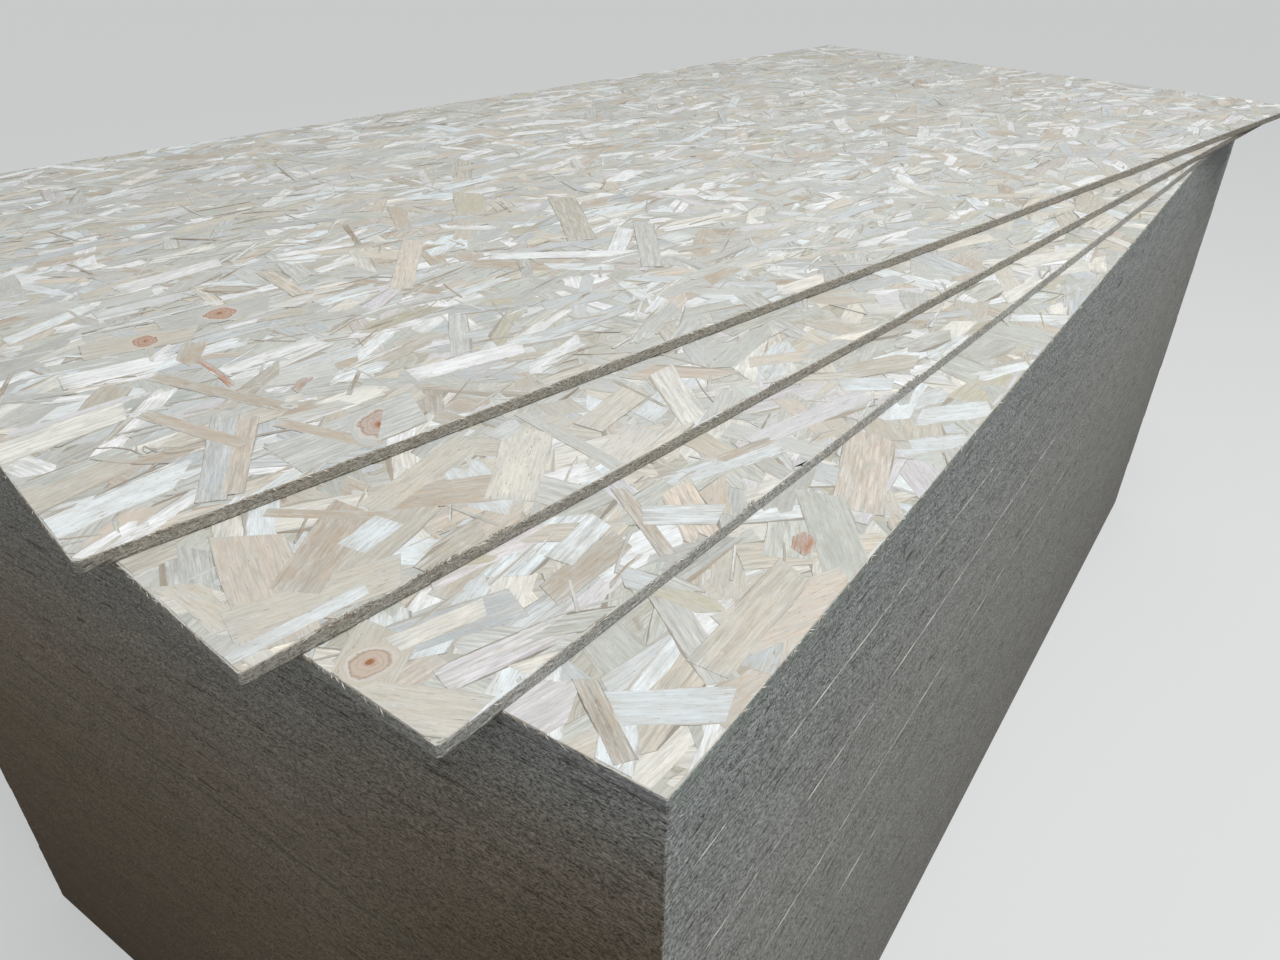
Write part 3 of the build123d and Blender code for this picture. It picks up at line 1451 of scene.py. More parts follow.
@dataclass(frozen=True)
class SawnLayers(ShaderGroup):
    """Cut strand ends in a sawn edge: flat flecks in layers, dark voids and pale slivers."""

    name = "sawn_layers"
    inputs = {"Grain": (VECTOR, None), "Depth": (FLOAT, 0.0)}
    outputs = ("Flecks", "Broad", "Voids", "Slivers", "Height")
    fine_share: float = 0.35
    coarse_share: float = 0.65

    def draw(self, sketch: Sketch, given: Sockets) -> dict[str, Socket]:
        """Draws the flecks, voids and slivers.

        Args:
            sketch: the group's sketch.
            given: the group's inputs, by name.

        Returns:
            The group's outputs, by name.
        """
        grain = given["Grain"]
        broad = sketch.noise(grain, (14, 130, 2.9), detail=3, rough=0.6, twist=0.4)
        coarse = sketch.noise(grain, (240, 560, 3.7), detail=3, rough=0.8, twist=0.6)
        fine = sketch.noise(grain, (620, 1200, 1.9), detail=2, rough=0.6)
        coarse = sketch.math("MULTIPLY", coarse, self.coarse_share)
        flecks = sketch.math("MULTIPLY_ADD", fine, self.fine_share, coarse)
        holes = sketch.noise(grain, (280, 640, 7.1), detail=3, rough=0.75, twist=0.6)
        # Painted shade: the voids darken small gaps between the cut strands and, through the depth, the pits
        # and crushed arris
        voids = sketch.math("MAXIMUM", sketch.span(holes, 0.58, 0.68), sketch.span(given["Depth"], 0.3, 0.95))
        pale = sketch.noise(grain, (170, 700, 4.3), detail=3, rough=0.65, twist=0.3)
        slivers = sketch.span(pale, 0.6, 0.7)
        height = sketch.math("MULTIPLY_ADD", voids, -1.5, flecks)
        return {"Flecks": flecks, "Broad": broad, "Voids": voids, "Slivers": slivers, "Height": height}


@dataclass(frozen=True)
class DustVeil(ShaderGroup):
    """Sawdust and handling marks, which vary slowly over the whole stack."""

    name = "dust_veil"
    inputs = {"Place": (VECTOR, None), "Amount": (FLOAT, 1.0)}
    outputs = ("Dust", "Drift")

    def draw(self, sketch: Sketch, given: Sockets) -> dict[str, Socket]:
        """Draws the dust and the drift.

        Args:
            sketch: the group's sketch.
            given: the group's inputs, by name.

        Returns:
            The group's outputs, by name.
        """
        drift = sketch.noise(given["Place"], (2.3, 2.3, 5.0), detail=3)
        specks = sketch.noise(given["Place"], (260, 260, 260), detail=3, rough=0.7)
        dust = sketch.math("MULTIPLY", sketch.span(specks, 0.66, 0.78), given["Amount"])
        return {"Dust": dust, "Drift": drift}


def blank_material(name: str) -> tuple[bpy.types.Material, Sketch]:
    """A material with an empty node tree.

    Args:
        name: the material's name.

    Returns:
        The material and the sketch of its tree.
    """
    material = bpy.data.materials.new(name)
    material.use_nodes = True
    material.node_tree.nodes.clear()
    return material, Sketch(material.node_tree)


@dataclass(frozen=True)
class WoodFinish:
    """A finish of bare wood, whose colour, roughness and relief each kind draws in its own way."""

    name: ClassVar[str]
    bump: ClassVar[float] = 0.4
    bump_depth: ClassVar[float] = 0.2 * MM
    gloss: ClassVar[float] = 0.25

    def draw(self, sketch: Sketch) -> tuple[Socket, Socket, Socket]:
        """Draws the wood.

        Args:
            sketch: the material's sketch.

        Returns:
            The sockets of its colour, roughness and height.
        """
        raise NotImplementedError

    def build(self) -> bpy.types.Material:
        """Builds the material.

        Returns:
            The material.
        """
        material, sketch = blank_material(self.name)
        colour, rough, height = self.draw(sketch)
        relief = {"Strength": self.bump, "Distance": self.bump_depth, "Height": height}
        bump = sketch.node("ShaderNodeBump", relief).outputs[0]
        look = {"Base Color": colour, "Roughness": rough, "Normal": bump, "Specular IOR Level": self.gloss}
        shader = sketch.node("ShaderNodeBsdfPrincipled", look)
        sketch.node("ShaderNodeOutputMaterial", {"Surface": shader.outputs[0]})
        return material


@dataclass(frozen=True)
class PressedStrands(WoodFinish):
    """The finish of the panels' faces: raw pale strands under a thin skin of wax and glue."""

    name = "pressed_strands"
    bump = 0.45
    faded: Triple = linear(199, 200, 195)
    bleached: Triple = linear(206, 208, 206)
    stain: Triple = linear(180, 170, 154)
    bare: Triple = linear(230, 233, 232)
    glue: Triple = linear(168, 150, 126)
    shadow: Triple = linear(126, 117, 104)
    ring: Triple = linear(180, 164, 142)
    tick: Triple = linear(118, 98, 76)
    dust: Triple = linear(222, 214, 198)
    dust_amount: float = 0.25

    def draw(self, sketch: Sketch) -> tuple[Socket, Socket, Socket]:
        """Draws the strands.

        Args:
            sketch: the material's sketch.

        Returns:
            The sockets of their colour, roughness and height.
        """
        grain = sketch.attribute("grain")
        tint = sketch.attribute("tint", "Color")
        place = sketch.node("ShaderNodeTexCoord").outputs["Object"]
        number = sketch.parts(grain)[2]
        lot = sketch.math("FRACT", sketch.math("MULTIPLY", number, 7.31))
        other_lot = sketch.math("FRACT", sketch.math("MULTIPLY", number, 3.17))
        wood = WoodGrain().placed(sketch, {"Grain": grain})
        outline = ChipOutline().placed(sketch, {"Grain": grain, "Reach": sketch.attribute("reach")})
        veil = DustVeil().placed(sketch, {"Place": place, "Amount": self.dust_amount})
        colour = sketch.mix(sketch.span(wood["Mottle"], 0.38, 0.66, 0.0, 0.46), tint, self.faded)
        colour = sketch.mix(sketch.span(veil["Drift"], 0.45, 0.7, 0.0, 0.22), colour, self.bleached)
        colour = sketch.mix(sketch.math("MULTIPLY", outline["Fray"], 0.7), colour, self.faded)
        colour = sketch.mix(sketch.span(wood["Blotch"], 0.5, 0.68, 0.0, 0.34), colour, self.stain)
        colour = sketch.mix(sketch.span(wood["Blotch"], 0.48, 0.3, 0.0, 0.3), colour, self.bare)
        ribbed = sketch.math("MULTIPLY", wood["Rings"], sketch.span(lot, 0.3, 1.0, 0.02, 0.36))
        colour = sketch.mix(ribbed, colour, self.ring)
        strong = sketch.span(other_lot, 0.2, 1.0, 0.06, 0.2)
        streaks = sketch.math("MULTIPLY", sketch.span(wood["Streak"], 0.3, 0.7, -1.0, 1.0), strong)
        shade = sketch.math("ADD", sketch.span(wood["Fibre"], 0.25, 0.75, 0.9, 1.1), streaks)
        colour = sketch.shaded(colour, shade)
        ticks = sketch.math("MULTIPLY", wood["Ticks"], sketch.span(other_lot, 0.0, 1.0, 0.6, 0.1))
        colour = sketch.mix(ticks, colour, self.tick)
        line = sketch.math("MULTIPLY", outline["Line"], sketch.span(other_lot, 0.0, 1.0, 0.15, 0.72))
        colour = sketch.mix(line, colour, sketch.mix(lot, self.glue, self.shadow))
        colour = sketch.mix(veil["Dust"], colour, self.dust)
        return colour, sketch.span(wood["Streak"], 0.2, 0.8, 0.5, 0.74), wood["Height"]


@dataclass(frozen=True)
class KnotWood(WoodFinish):
    """The finish of knots: pinkish brown rings in a pale halo, which fades into the wood round it."""

    name = "knot_wood"
    heart: Triple = linear(156, 110, 78)
    rings: Triple = linear(196, 165, 147)
    bark: Triple = linear(150, 124, 106)
    halo: Triple = linear(218, 217, 211)
    ring_turns: float = 34.0
    raggedness: float = 0.6

    def draw(self, sketch: Sketch) -> tuple[Socket, Socket, Socket]:
        """Draws the knot.

        Args:
            sketch: the material's sketch.

        Returns:
            The sockets of its colour, roughness and height.
        """
        grain = sketch.attribute("grain")
        reach = sketch.attribute("reach")
        tint = sketch.attribute("tint", "Color")
        share = sketch.node("ShaderNodeVectorMath", {0: grain, 1: reach}, operation="DIVIDE").outputs[0]
        flat = sketch.stretched(share, (1, 1, 0))
        away = sketch.node("ShaderNodeVectorMath", {0: flat}, operation="LENGTH").outputs["Value"]
        away = sketch.math("SUBTRACT", away, self.raggedness / 2)
        uneven = sketch.noise(grain, (85, 85, 1), detail=4, rough=0.65)
        away = sketch.math("MULTIPLY_ADD", uneven, self.raggedness, away)
        rings = sketch.math("SINE", sketch.math("MULTIPLY", away, self.ring_turns))
        colour = sketch.mix(sketch.span(rings, 0.0, 1.0, 0.0, 0.65), self.rings, self.bark)
        paleness = sketch.parts(reach)[2]
        colour = sketch.mix(sketch.math("MULTIPLY", paleness, sketch.span(away, 0.1, 0.25)), colour, tint)
        colour = sketch.mix(sketch.span(away, 0.2, 0.05), colour, self.heart)
        rim = sketch.math("MULTIPLY", sketch.span(away, 0.52, 0.62), sketch.span(away, 0.74, 0.64))
        colour = sketch.mix(sketch.math("MULTIPLY", rim, 0.4), colour, self.bark)
        colour = sketch.mix(sketch.span(away, 0.62, 0.72, 0.0, 0.7), colour, self.halo)
        colour = sketch.mix(sketch.span(away, 0.68, 0.86), colour, tint)
        return colour, sketch.span(rings, -1.0, 1.0, 0.5, 0.68), rings


@dataclass(frozen=True)
class HiddenFace(WoodFinish):
    """The finish of the faces that lie hidden or look down: the same strands, flat."""

    name = "hidden_face"
    pale: Triple = linear(206, 206, 200)
    dull: Triple = linear(188, 184, 170)
    gap: Triple = linear(140, 130, 112)
    strand_scales: Triple = (9, 36, 1)

    def draw(self, sketch: Sketch) -> tuple[Socket, Socket, Socket]:
        """Draws the flat strands.

        Args:
            sketch: the material's sketch.

        Returns:
            The sockets of their colour, roughness and height.
        """
        grain = sketch.attribute("grain")
        tint = sketch.attribute("tint", "Color")
        wander = sketch.noise(grain, (7, 9, 1), detail=2)
        bent = sketch.node("ShaderNodeVectorMath", {0: grain, 1: wander}, operation="ADD").outputs[0]
        strands = {"Vector": sketch.stretched(bent, self.strand_scales), "Scale": 1.0}
        cells = sketch.node("ShaderNodeTexVoronoi", strands)
        edges = sketch.node("ShaderNodeTexVoronoi", strands, feature="DISTANCE_TO_EDGE").outputs["Distance"]
        lot = sketch.node("ShaderNodeSeparateColor", {0: cells.outputs["Color"]}).outputs[0]
        streak = sketch.noise(grain, (24, 300, 1), detail=4, rough=0.68)
        colour = sketch.mix(lot, self.pale, self.dull)
        colour = sketch.mix(sketch.span(edges, 0.05, 0.0, 0.0, 0.4), colour, self.gap)
        colour = sketch.mix(1.0, colour, tint, "MULTIPLY")
        colour = sketch.shaded(colour, sketch.span(streak, 0.3, 0.7, 0.88, 1.08))
        return colour, sketch.span(streak, 0.2, 0.8, 0.6, 0.8), streak


@dataclass(frozen=True)
class SawnEdgeFinish(WoodFinish):
    """The finish of the sawn edges: dull cut strand ends with dark voids between them."""

    name = "sawn_edge"
    bump = 0.6
    bump_depth = 0.4 * MM
    gloss = 0.2
    # Painted shade in the voids and pits between the cut strand ends
    dark: Triple = linear(72, 64, 54)
    light: Triple = linear(206, 198, 182)
    dust_amount: float = 0.35

    def draw(self, sketch: Sketch) -> tuple[Socket, Socket, Socket]:
        """Draws the cut strand ends.

        Args:
            sketch: the material's sketch.

        Returns:
            The sockets of their colour, roughness and height.
        """
        grain = sketch.attribute("grain")
        tint = sketch.attribute("tint", "Color")
        place = sketch.node("ShaderNodeTexCoord").outputs["Object"]
        contrast, _, depth = sketch.parts(sketch.attribute("reach"))
        cut = SawnLayers().placed(sketch, {"Grain": grain, "Depth": depth})
        veil = DustVeil().placed(sketch, {"Place": place, "Amount": self.dust_amount})
        shade = sketch.span(cut["Flecks"], 0.37, 0.63, 0.22, 1.78)
        shade = sketch.math("MULTIPLY", shade, sketch.span(cut["Broad"], 0.3, 0.7, 0.88, 1.12))
        shade = sketch.math("MULTIPLY_ADD", sketch.math("SUBTRACT", shade, 1.0), contrast, 1.0)
        colour = sketch.shaded(tint, shade)
        colour = sketch.mix(sketch.math("MULTIPLY", cut["Slivers"], 0.35), colour, self.light)
        # The voids and pits are painted dark as shade
        gap = sketch.math("MULTIPLY", cut["Voids"], sketch.math("MULTIPLY", contrast, 0.7))
        colour = sketch.mix(gap, colour, self.dark)
        colour = sketch.mix(veil["Dust"], colour, self.light)
        return colour, sketch.span(cut["Flecks"], 0.2, 0.8, 0.78, 0.95), cut["Height"]


# Painted shade and painted warm bounce light: the long sides grow darker and browner towards the bottom
LONG_SIDE_TINT_AND_SHADE = EdgeTint(
    (linear(162, 166, 164), linear(166, 166, 162), linear(149, 147, 142)),
    (0.06, 0.3, 1.05),
    contrast=1.12,
)
# Painted shade and painted warm bounce light: the ends grow much darker and browner towards the bottom, and
# the near end more so near its low-Y corner
END_TINT_AND_SHADE = EdgeTint(
    (linear(173, 173, 169), linear(164, 158, 148), linear(150, 138, 124),
     linear(128, 116, 98), linear(108, 94, 77), linear(92, 79, 63)),
    (0.08, 0.19, 0.33, 0.53, 0.80, 1.05),
    corner_shade_pull=2.1,
)


@dataclass(frozen=True)
class FaceRecipe:
    """What gives one loose panel its looks: its strands, the colours of its edges, its knots and tufts."""

    blends: Sequence[StrandBlend]
    strands: Sequence[Strand]
    long_edge: Triple
    short_edge: Triple
    knots: Sequence[Knot] = ()
    tufts: Sequence[Tuft] = ()


@dataclass
class LooseBoard:
    """A panel whose face shows: sawn rim, body, splinters and a mat of real strands on its top."""

    board: Board
    covers: Sequence[Board]
    recipe: FaceRecipe
    seed: int
    map_gap: float = 0.01
    map_step: float = 0.03
    edge_contrast: float = 0.62

    def even_tint(self, colour: Triple) -> EdgeTint:
        """One colour for the sawn edges of one pair of sides."""
        return EdgeTint((colour,), (0.0,), self.edge_contrast)

    def build(self, materials: Sequence[bpy.types.Material]) -> bpy.types.Object:
        """Builds the panel.

        Args:
            materials: the finishes, in the order of Finish.

        Returns:
            The mesh object, which stands for the panel's CAD node.
        """
        maker = MeshMaker(self.board.name.replace("panel", "board"))
        rim = SawnRim(step=3 * MM, rows=9, pit_depth=0.6 * MM, arris=0.35 * MM, fleck_length=6 * MM,
                      long_tint=self.even_tint(self.recipe.long_edge),
                      end_tint=self.even_tint(self.recipe.short_edge), top_sink=FACE_DEPTH)
        rim.build(maker, self.board, 0.0, self.seed, FACE_SHARE + self.map_gap, self.map_step, np.ones(3))
        chance = random.Random(self.seed)
        strands = [strand for blend in self.recipe.blends for strand in blend.scatter(self.board, chance)]
        strands += self.recipe.strands
        StrandMat(self.board, self.covers, self.seed).lay(maker, strands, self.recipe.knots)
        EdgeSplinters(self.board, self.seed, self.recipe.tufts).add_to(maker)
        return maker.piece(materials, [self.board.name])


@dataclass(frozen=True)
class SeamLine:
    """Pale torn fibres along a seam of the pile's near long side, in millimetres.

    Pairs are the least and the most, and threes have the usual as well. The gap is a mean and a
    spread, and below zero the fibres overlap.
    """

    height: float
    start: float
    end: float
    thickness: float = 0.85
    fibre: Triple = (25, 130, 60)
    overrun: float = 8
    thinning: tuple[float, float] = (0.6, 1.1)
    inset: tuple[float, float] = (-0.15, 0.25)
    slant: float = 0.1
    lift: float = 0.2
    pace: float = 0.8
    gap: tuple[float, float] = (-12, 12)
    tones: tuple[Tone, ...] = (Tone.WARM_WHITE, Tone.PALE_GREY, Tone.CREAM)

    def add_to(self, maker: MeshMaker, below: Board, chance: random.Random,
               bake_place: Sequence[float]) -> None:
        """Adds the fibres to a piece, lying on the panel under the seam.

        Args:
            maker: the piece that takes them.
            below: the panel under the seam.
            chance: the source of the random numbers.
            bake_place: where they lie on the piece's flat map.
        """
        place = self.start
        while place < self.end:
            length = min(chance.triangular(*self.fibre), self.end - place + self.overrun)
            thickness = self.thickness * chance.uniform(*self.thinning)
            inset = chance.uniform(*self.inset)
            first = np.array([place, inset]) * MM
            last = np.array([place + length, inset + self.slant]) * MM
            heights = np.full(2, below.top) + thickness * self.lift * MM
            fibre = Splinter.on(below, (first, last), heights, thickness * MM, chance.choice(self.tones))
            fibre.add_to(maker, bake_place)
            place += length * self.pace + max(0.0, chance.gauss(*self.gap))


@dataclass(frozen=True)
class CornerSplinters:
    """Small splinters on a buried panel's upright corners, and here and there along its edges.

    Pairs are the least and the most. The length, the thickness and the droop are in millimetres.
    """

    count: int = 14
    at_corners: int = 6
    nearest: float = 2 * MM
    corner_reach: float = 14 * MM
    edge_reach: float = 600 * MM
    long_side_share: float = 0.6
    inset: float = 0.2 * MM
    length: tuple[float, float] = (2.5, 9)
    lean: tuple[float, float] = (0, 0.16)
    above_bottom: float = 1 * MM
    under_top: float = 0.3 * MM
    droop: tuple[float, float] = (-1.2, 0.2)
    thickness: tuple[float, float] = (0.3, 0.7)
    tones: tuple[Tone, ...] = (Tone.WARM_WHITE, Tone.BEIGE, Tone.TAN, Tone.BARK)

    def add_to(self, maker: MeshMaker, board: Board, chance: random.Random,
               bake_place: Sequence[float]) -> None:
        """Adds the splinters to a piece.

        Args:
            maker: the piece that takes them.
            board: the panel.
            chance: the source of the random numbers.
            bake_place: where they lie on the piece's flat map.
        """
        for number in range(self.count):
            reach = self.corner_reach if number < self.at_corners else self.edge_reach
            corner = np.array([chance.choice((0, 1)), chance.choice((0, 1))])
            on_long_side = chance.random() < self.long_side_share
            slip = chance.uniform(self.nearest, reach)
            away = np.array([slip, self.inset] if on_long_side else [self.inset, slip])
            inward = 1 - 2 * corner
            first = corner * board.size + inward * away
            run, across = np.eye(2) if on_long_side else np.eye(2)[::-1]
            length = chance.uniform(*self.length) * MM
            run = run * chance.choice((-1, 1))
            last = first + (run - inward * across * chance.uniform(*self.lean)) * length
            high = chance.uniform(board.bottom + self.above_bottom, board.top - self.under_top)
            low = high + chance.uniform(*self.droop) * MM
            tone = chance.choice(self.tones)
            thickness = chance.uniform(*self.thickness) * MM
            Splinter.on(board, (first, last), (high, low), thickness, tone).add_to(maker, bake_place)


@dataclass
class BuriedBoards:
    """The panels under the top ones, of which only the sawn edges show."""

    node: str
    boards: Sequence[Board]
    seams: Sequence[SeamLine]
    seed: int
    seed_step: int = 10
    step: float = 18 * MM
    rows: int = 4
    cap_shade: float = 0.38
    map_share: float = 0.98
    splinter_map: float = 0.5

    def build(self, materials: Sequence[bpy.types.Material]) -> bpy.types.Object:
        """Builds all the panels of one CAD node as one piece.

        Args:
            materials: the finishes, in the order of Finish.

        Returns:
            The mesh object, which stands for the CAD node.
        """
        maker = MeshMaker(self.node.replace("panel", "board"))
        chance = random.Random(self.seed)
        rim = SawnRim(step=self.step, rows=self.rows, pit_depth=0.06 * MM, arris=0.008 * MM,
                      fleck_length=9 * MM, long_tint=LONG_SIDE_TINT_AND_SHADE, end_tint=END_TINT_AND_SHADE)
        # Painted shade: the flat faces are darkened so that the lit ledges between panels look no brighter
        # than the sawn sides
        cap_tint = np.full(3, self.cap_shade)
        map_step = self.map_share / len(self.boards)
        for number, board in enumerate(self.boards):
            map_low = number * map_step
            bake_place = (self.splinter_map, map_low)
            depth = CAD_HIGH.z - board.top
            seed = self.seed + self.seed_step * number
            rim.build(maker, board, depth, seed, map_low, map_step / 4, cap_tint)
            CornerSplinters().add_to(maker, board, chance, bake_place)
            for seam in self.seams:
                if abs(seam.height * MM - board.top) < board.thickness / 2:
                    seam.add_to(maker, board, chance, bake_place)
        return maker.piece(materials, [self.node])


@dataclass
class PhotoCamera:
    """The camera at the photograph's place, with its view."""

    place: Triple = (-1.5448, -0.8008, 1.4899)
    azimuth: float = 35.125
    pitch_down: float = 33.261
    roll: float = -0.053
    focal_pixels: float = 979.3
    image_size: tuple[int, int] = (1280, 960)
    image_centre: tuple[float, float] = (613.6, 521.4)
    sensor: float = 36.0
    clip: tuple[float, float] = (0.02, 200.0)

    def build(self) -> bpy.types.Object:
        """Makes the camera and gives it to the scene.

        Returns:
            The camera.
        """
        azimuth = math.radians(self.azimuth)
        pitch = math.radians(self.pitch_down)
        roll = math.radians(self.roll)
        level_cos = math.cos(pitch)
        forward = Vector((level_cos * math.cos(azimuth), level_cos * math.sin(azimuth), -math.sin(pitch)))
        level = Vector((math.sin(azimuth), -math.cos(azimuth), 0))
        upright = level.cross(forward)
        right = level * math.cos(roll) + upright * math.sin(roll)
        up = right.cross(forward)
        turn = Matrix((right, up, -forward)).transposed()
        data = bpy.data.cameras.new("photo_camera")
        camera = bpy.data.objects.new("photo_camera", data)
        bpy.context.scene.collection.objects.link(camera)
        camera.matrix_world = Matrix.Translation(self.place) @ turn.to_4x4()
        width, height = self.image_size
        data.sensor_width = self.sensor
        data.sensor_fit = "HORIZONTAL"
        data.lens = self.focal_pixels * self.sensor / width
        data.shift_x = (width / 2 - self.image_centre[0]) / width
        data.shift_y = (self.image_centre[1] - height / 2) / width
        data.clip_start, data.clip_end = self.clip
        bpy.context.scene.camera = camera
        return camera


@dataclass
class Studio:
    """A plain pale floor under soft light."""

    floor_reach: float = 40.0
    floor_colour: Triple = linear(168, 169, 168)
    floor_glow: Triple = linear(170, 171, 171)
    floor_bounce: Triple = linear(118, 116, 112)
    backdrop_colour: Triple = linear(214, 216, 217)
    floor_rough: float = 0.9
    sky_colour: Triple = (0.95, 0.98, 1.0)
    sky_light: float = 0.36
    key_power: float = 162.0
    key_place: Triple = (-0.4, -1.9, 5.0)
    key_size: float = 3.4

    def floor(self) -> None:
        """Lays the floor, pale to the camera and darker in what it throws back on the stack."""
        material, sketch = blank_material("studio_floor")
        seen = sketch.seen_directly()
        colour = sketch.mix(seen, self.floor_bounce, self.floor_colour)
        glow = sketch.mix(seen, (0.0, 0.0, 0.0), self.floor_glow)
        look = {"Base Color": colour, "Roughness": self.floor_rough, "Emission Color": glow,
                "Emission Strength": 1.0}
        shader = sketch.node("ShaderNodeBsdfPrincipled", look)
        sketch.node("ShaderNodeOutputMaterial", {"Surface": shader.outputs[0]})
        corners = np.array([(-1, -1, 0), (1, -1, 0), (1, 1, 0), (-1, 1, 0)]) * self.floor_reach
        mesh = bpy.data.meshes.new("studio_floor")
        mesh.from_pydata(corners, [], [(0, 1, 2, 3)])
        mesh.materials.append(material)
        floor = bpy.data.objects.new("studio_floor", mesh)
        bpy.context.scene.collection.objects.link(floor)

    def sky(self) -> None:
        """Sets the even light from all round, and the pale ground that the camera sees behind."""
        world = bpy.data.worlds.new("studio_sky")
        bpy.context.scene.world = world
        world.use_nodes = True
        world.node_tree.nodes.clear()
        sketch = Sketch(world.node_tree)
        light = sketch.node("ShaderNodeBackground", {0: (*self.sky_colour, 1), 1: self.sky_light}).outputs[0]
        ground = sketch.node("ShaderNodeBackground", {0: (*self.backdrop_colour, 1), 1: 1.0}).outputs[0]
        both = sketch.node("ShaderNodeMixShader", {0: sketch.seen_directly(), 1: light, 2: ground})
        sketch.node("ShaderNodeOutputWorld", {"Surface": both.outputs[0]})

    def key(self) -> None:
        """Hangs the large soft lamp over the long side of the stack."""
        data = bpy.data.lights.new("soft_key", "AREA")
        data.shape = "DISK"
        data.size = self.key_size
        data.energy = self.key_power
        lamp = bpy.data.objects.new("soft_key", data)
        bpy.context.scene.collection.objects.link(lamp)
        place = Vector(self.key_place)
        middle = Vector((0.0, 0.0, CAD_HIGH.z))
        turn = (middle - place).to_track_quat("-Z", "Y")
        lamp.matrix_world = Matrix.Translation(place) @ turn.to_matrix().to_4x4()

    def build(self) -> None:
        """Sets up the floor, the sky and the lamp."""
        self.floor()
        self.sky()
        self.key()
        bpy.context.scene.view_settings.view_transform = "Standard"


COMMON_TONES = {
    Tone.PALE_GREY: 24,
    Tone.GREEN_GREY: 13,
    Tone.COOL_GREY: 14,
    Tone.BRIGHT_WITH_SHEEN: 13,
    Tone.COOL_WHITE: 9,
    Tone.WARM_WHITE: 4,
    Tone.LILAC: 5,
    Tone.BEIGE: 13,
    Tone.TAN: 7,
    Tone.PEACH: 5,
    Tone.OCHRE: 2,
    Tone.ROSE: 2,
}
WARM_TONES = {
    Tone.PALE_GREY: 18,
    Tone.GREEN_GREY: 14,
    Tone.COOL_GREY: 7,
    Tone.BRIGHT_WITH_SHEEN: 6,
    Tone.COOL_WHITE: 12,
    Tone.WARM_WHITE: 14,
    Tone.LILAC: 4,
    Tone.CREAM: 6,
    Tone.BEIGE: 12,
    Tone.TAN: 3,
    Tone.PEACH: 4,
    Tone.OCHRE: 3,
}
THIN_TONES = {
    Tone.PALE_GREY: 20,
    Tone.BRIGHT_WITH_SHEEN: 26,
    Tone.COOL_WHITE: 14,
    Tone.CREAM: 8,
    Tone.BEIGE: 12,
    Tone.TAN: 14,
    Tone.BARK: 8,
}

TOP_BLENDS = (
    StrandBlend(2000, (0.08, 0.17), (0.020, 0.045), 20, 0.4, COMMON_TONES),
    StrandBlend(2650, (0.05, 0.16), (0.010, 0.036), 20, 0.4, COMMON_TONES),
    StrandBlend(1800, (0.015, 0.09), (0.0012, 0.006), 20, 0.25, THIN_TONES),
)
LOWER_BLENDS = (
    StrandBlend(2000, (0.07, 0.15), (0.022, 0.050), 28, 0.55, WARM_TONES),
    StrandBlend(2500, (0.06, 0.15), (0.016, 0.046), 28, 0.55, WARM_TONES),
    StrandBlend(700, (0.015, 0.08), (0.0012, 0.005), 28, 0.35, THIN_TONES),
)

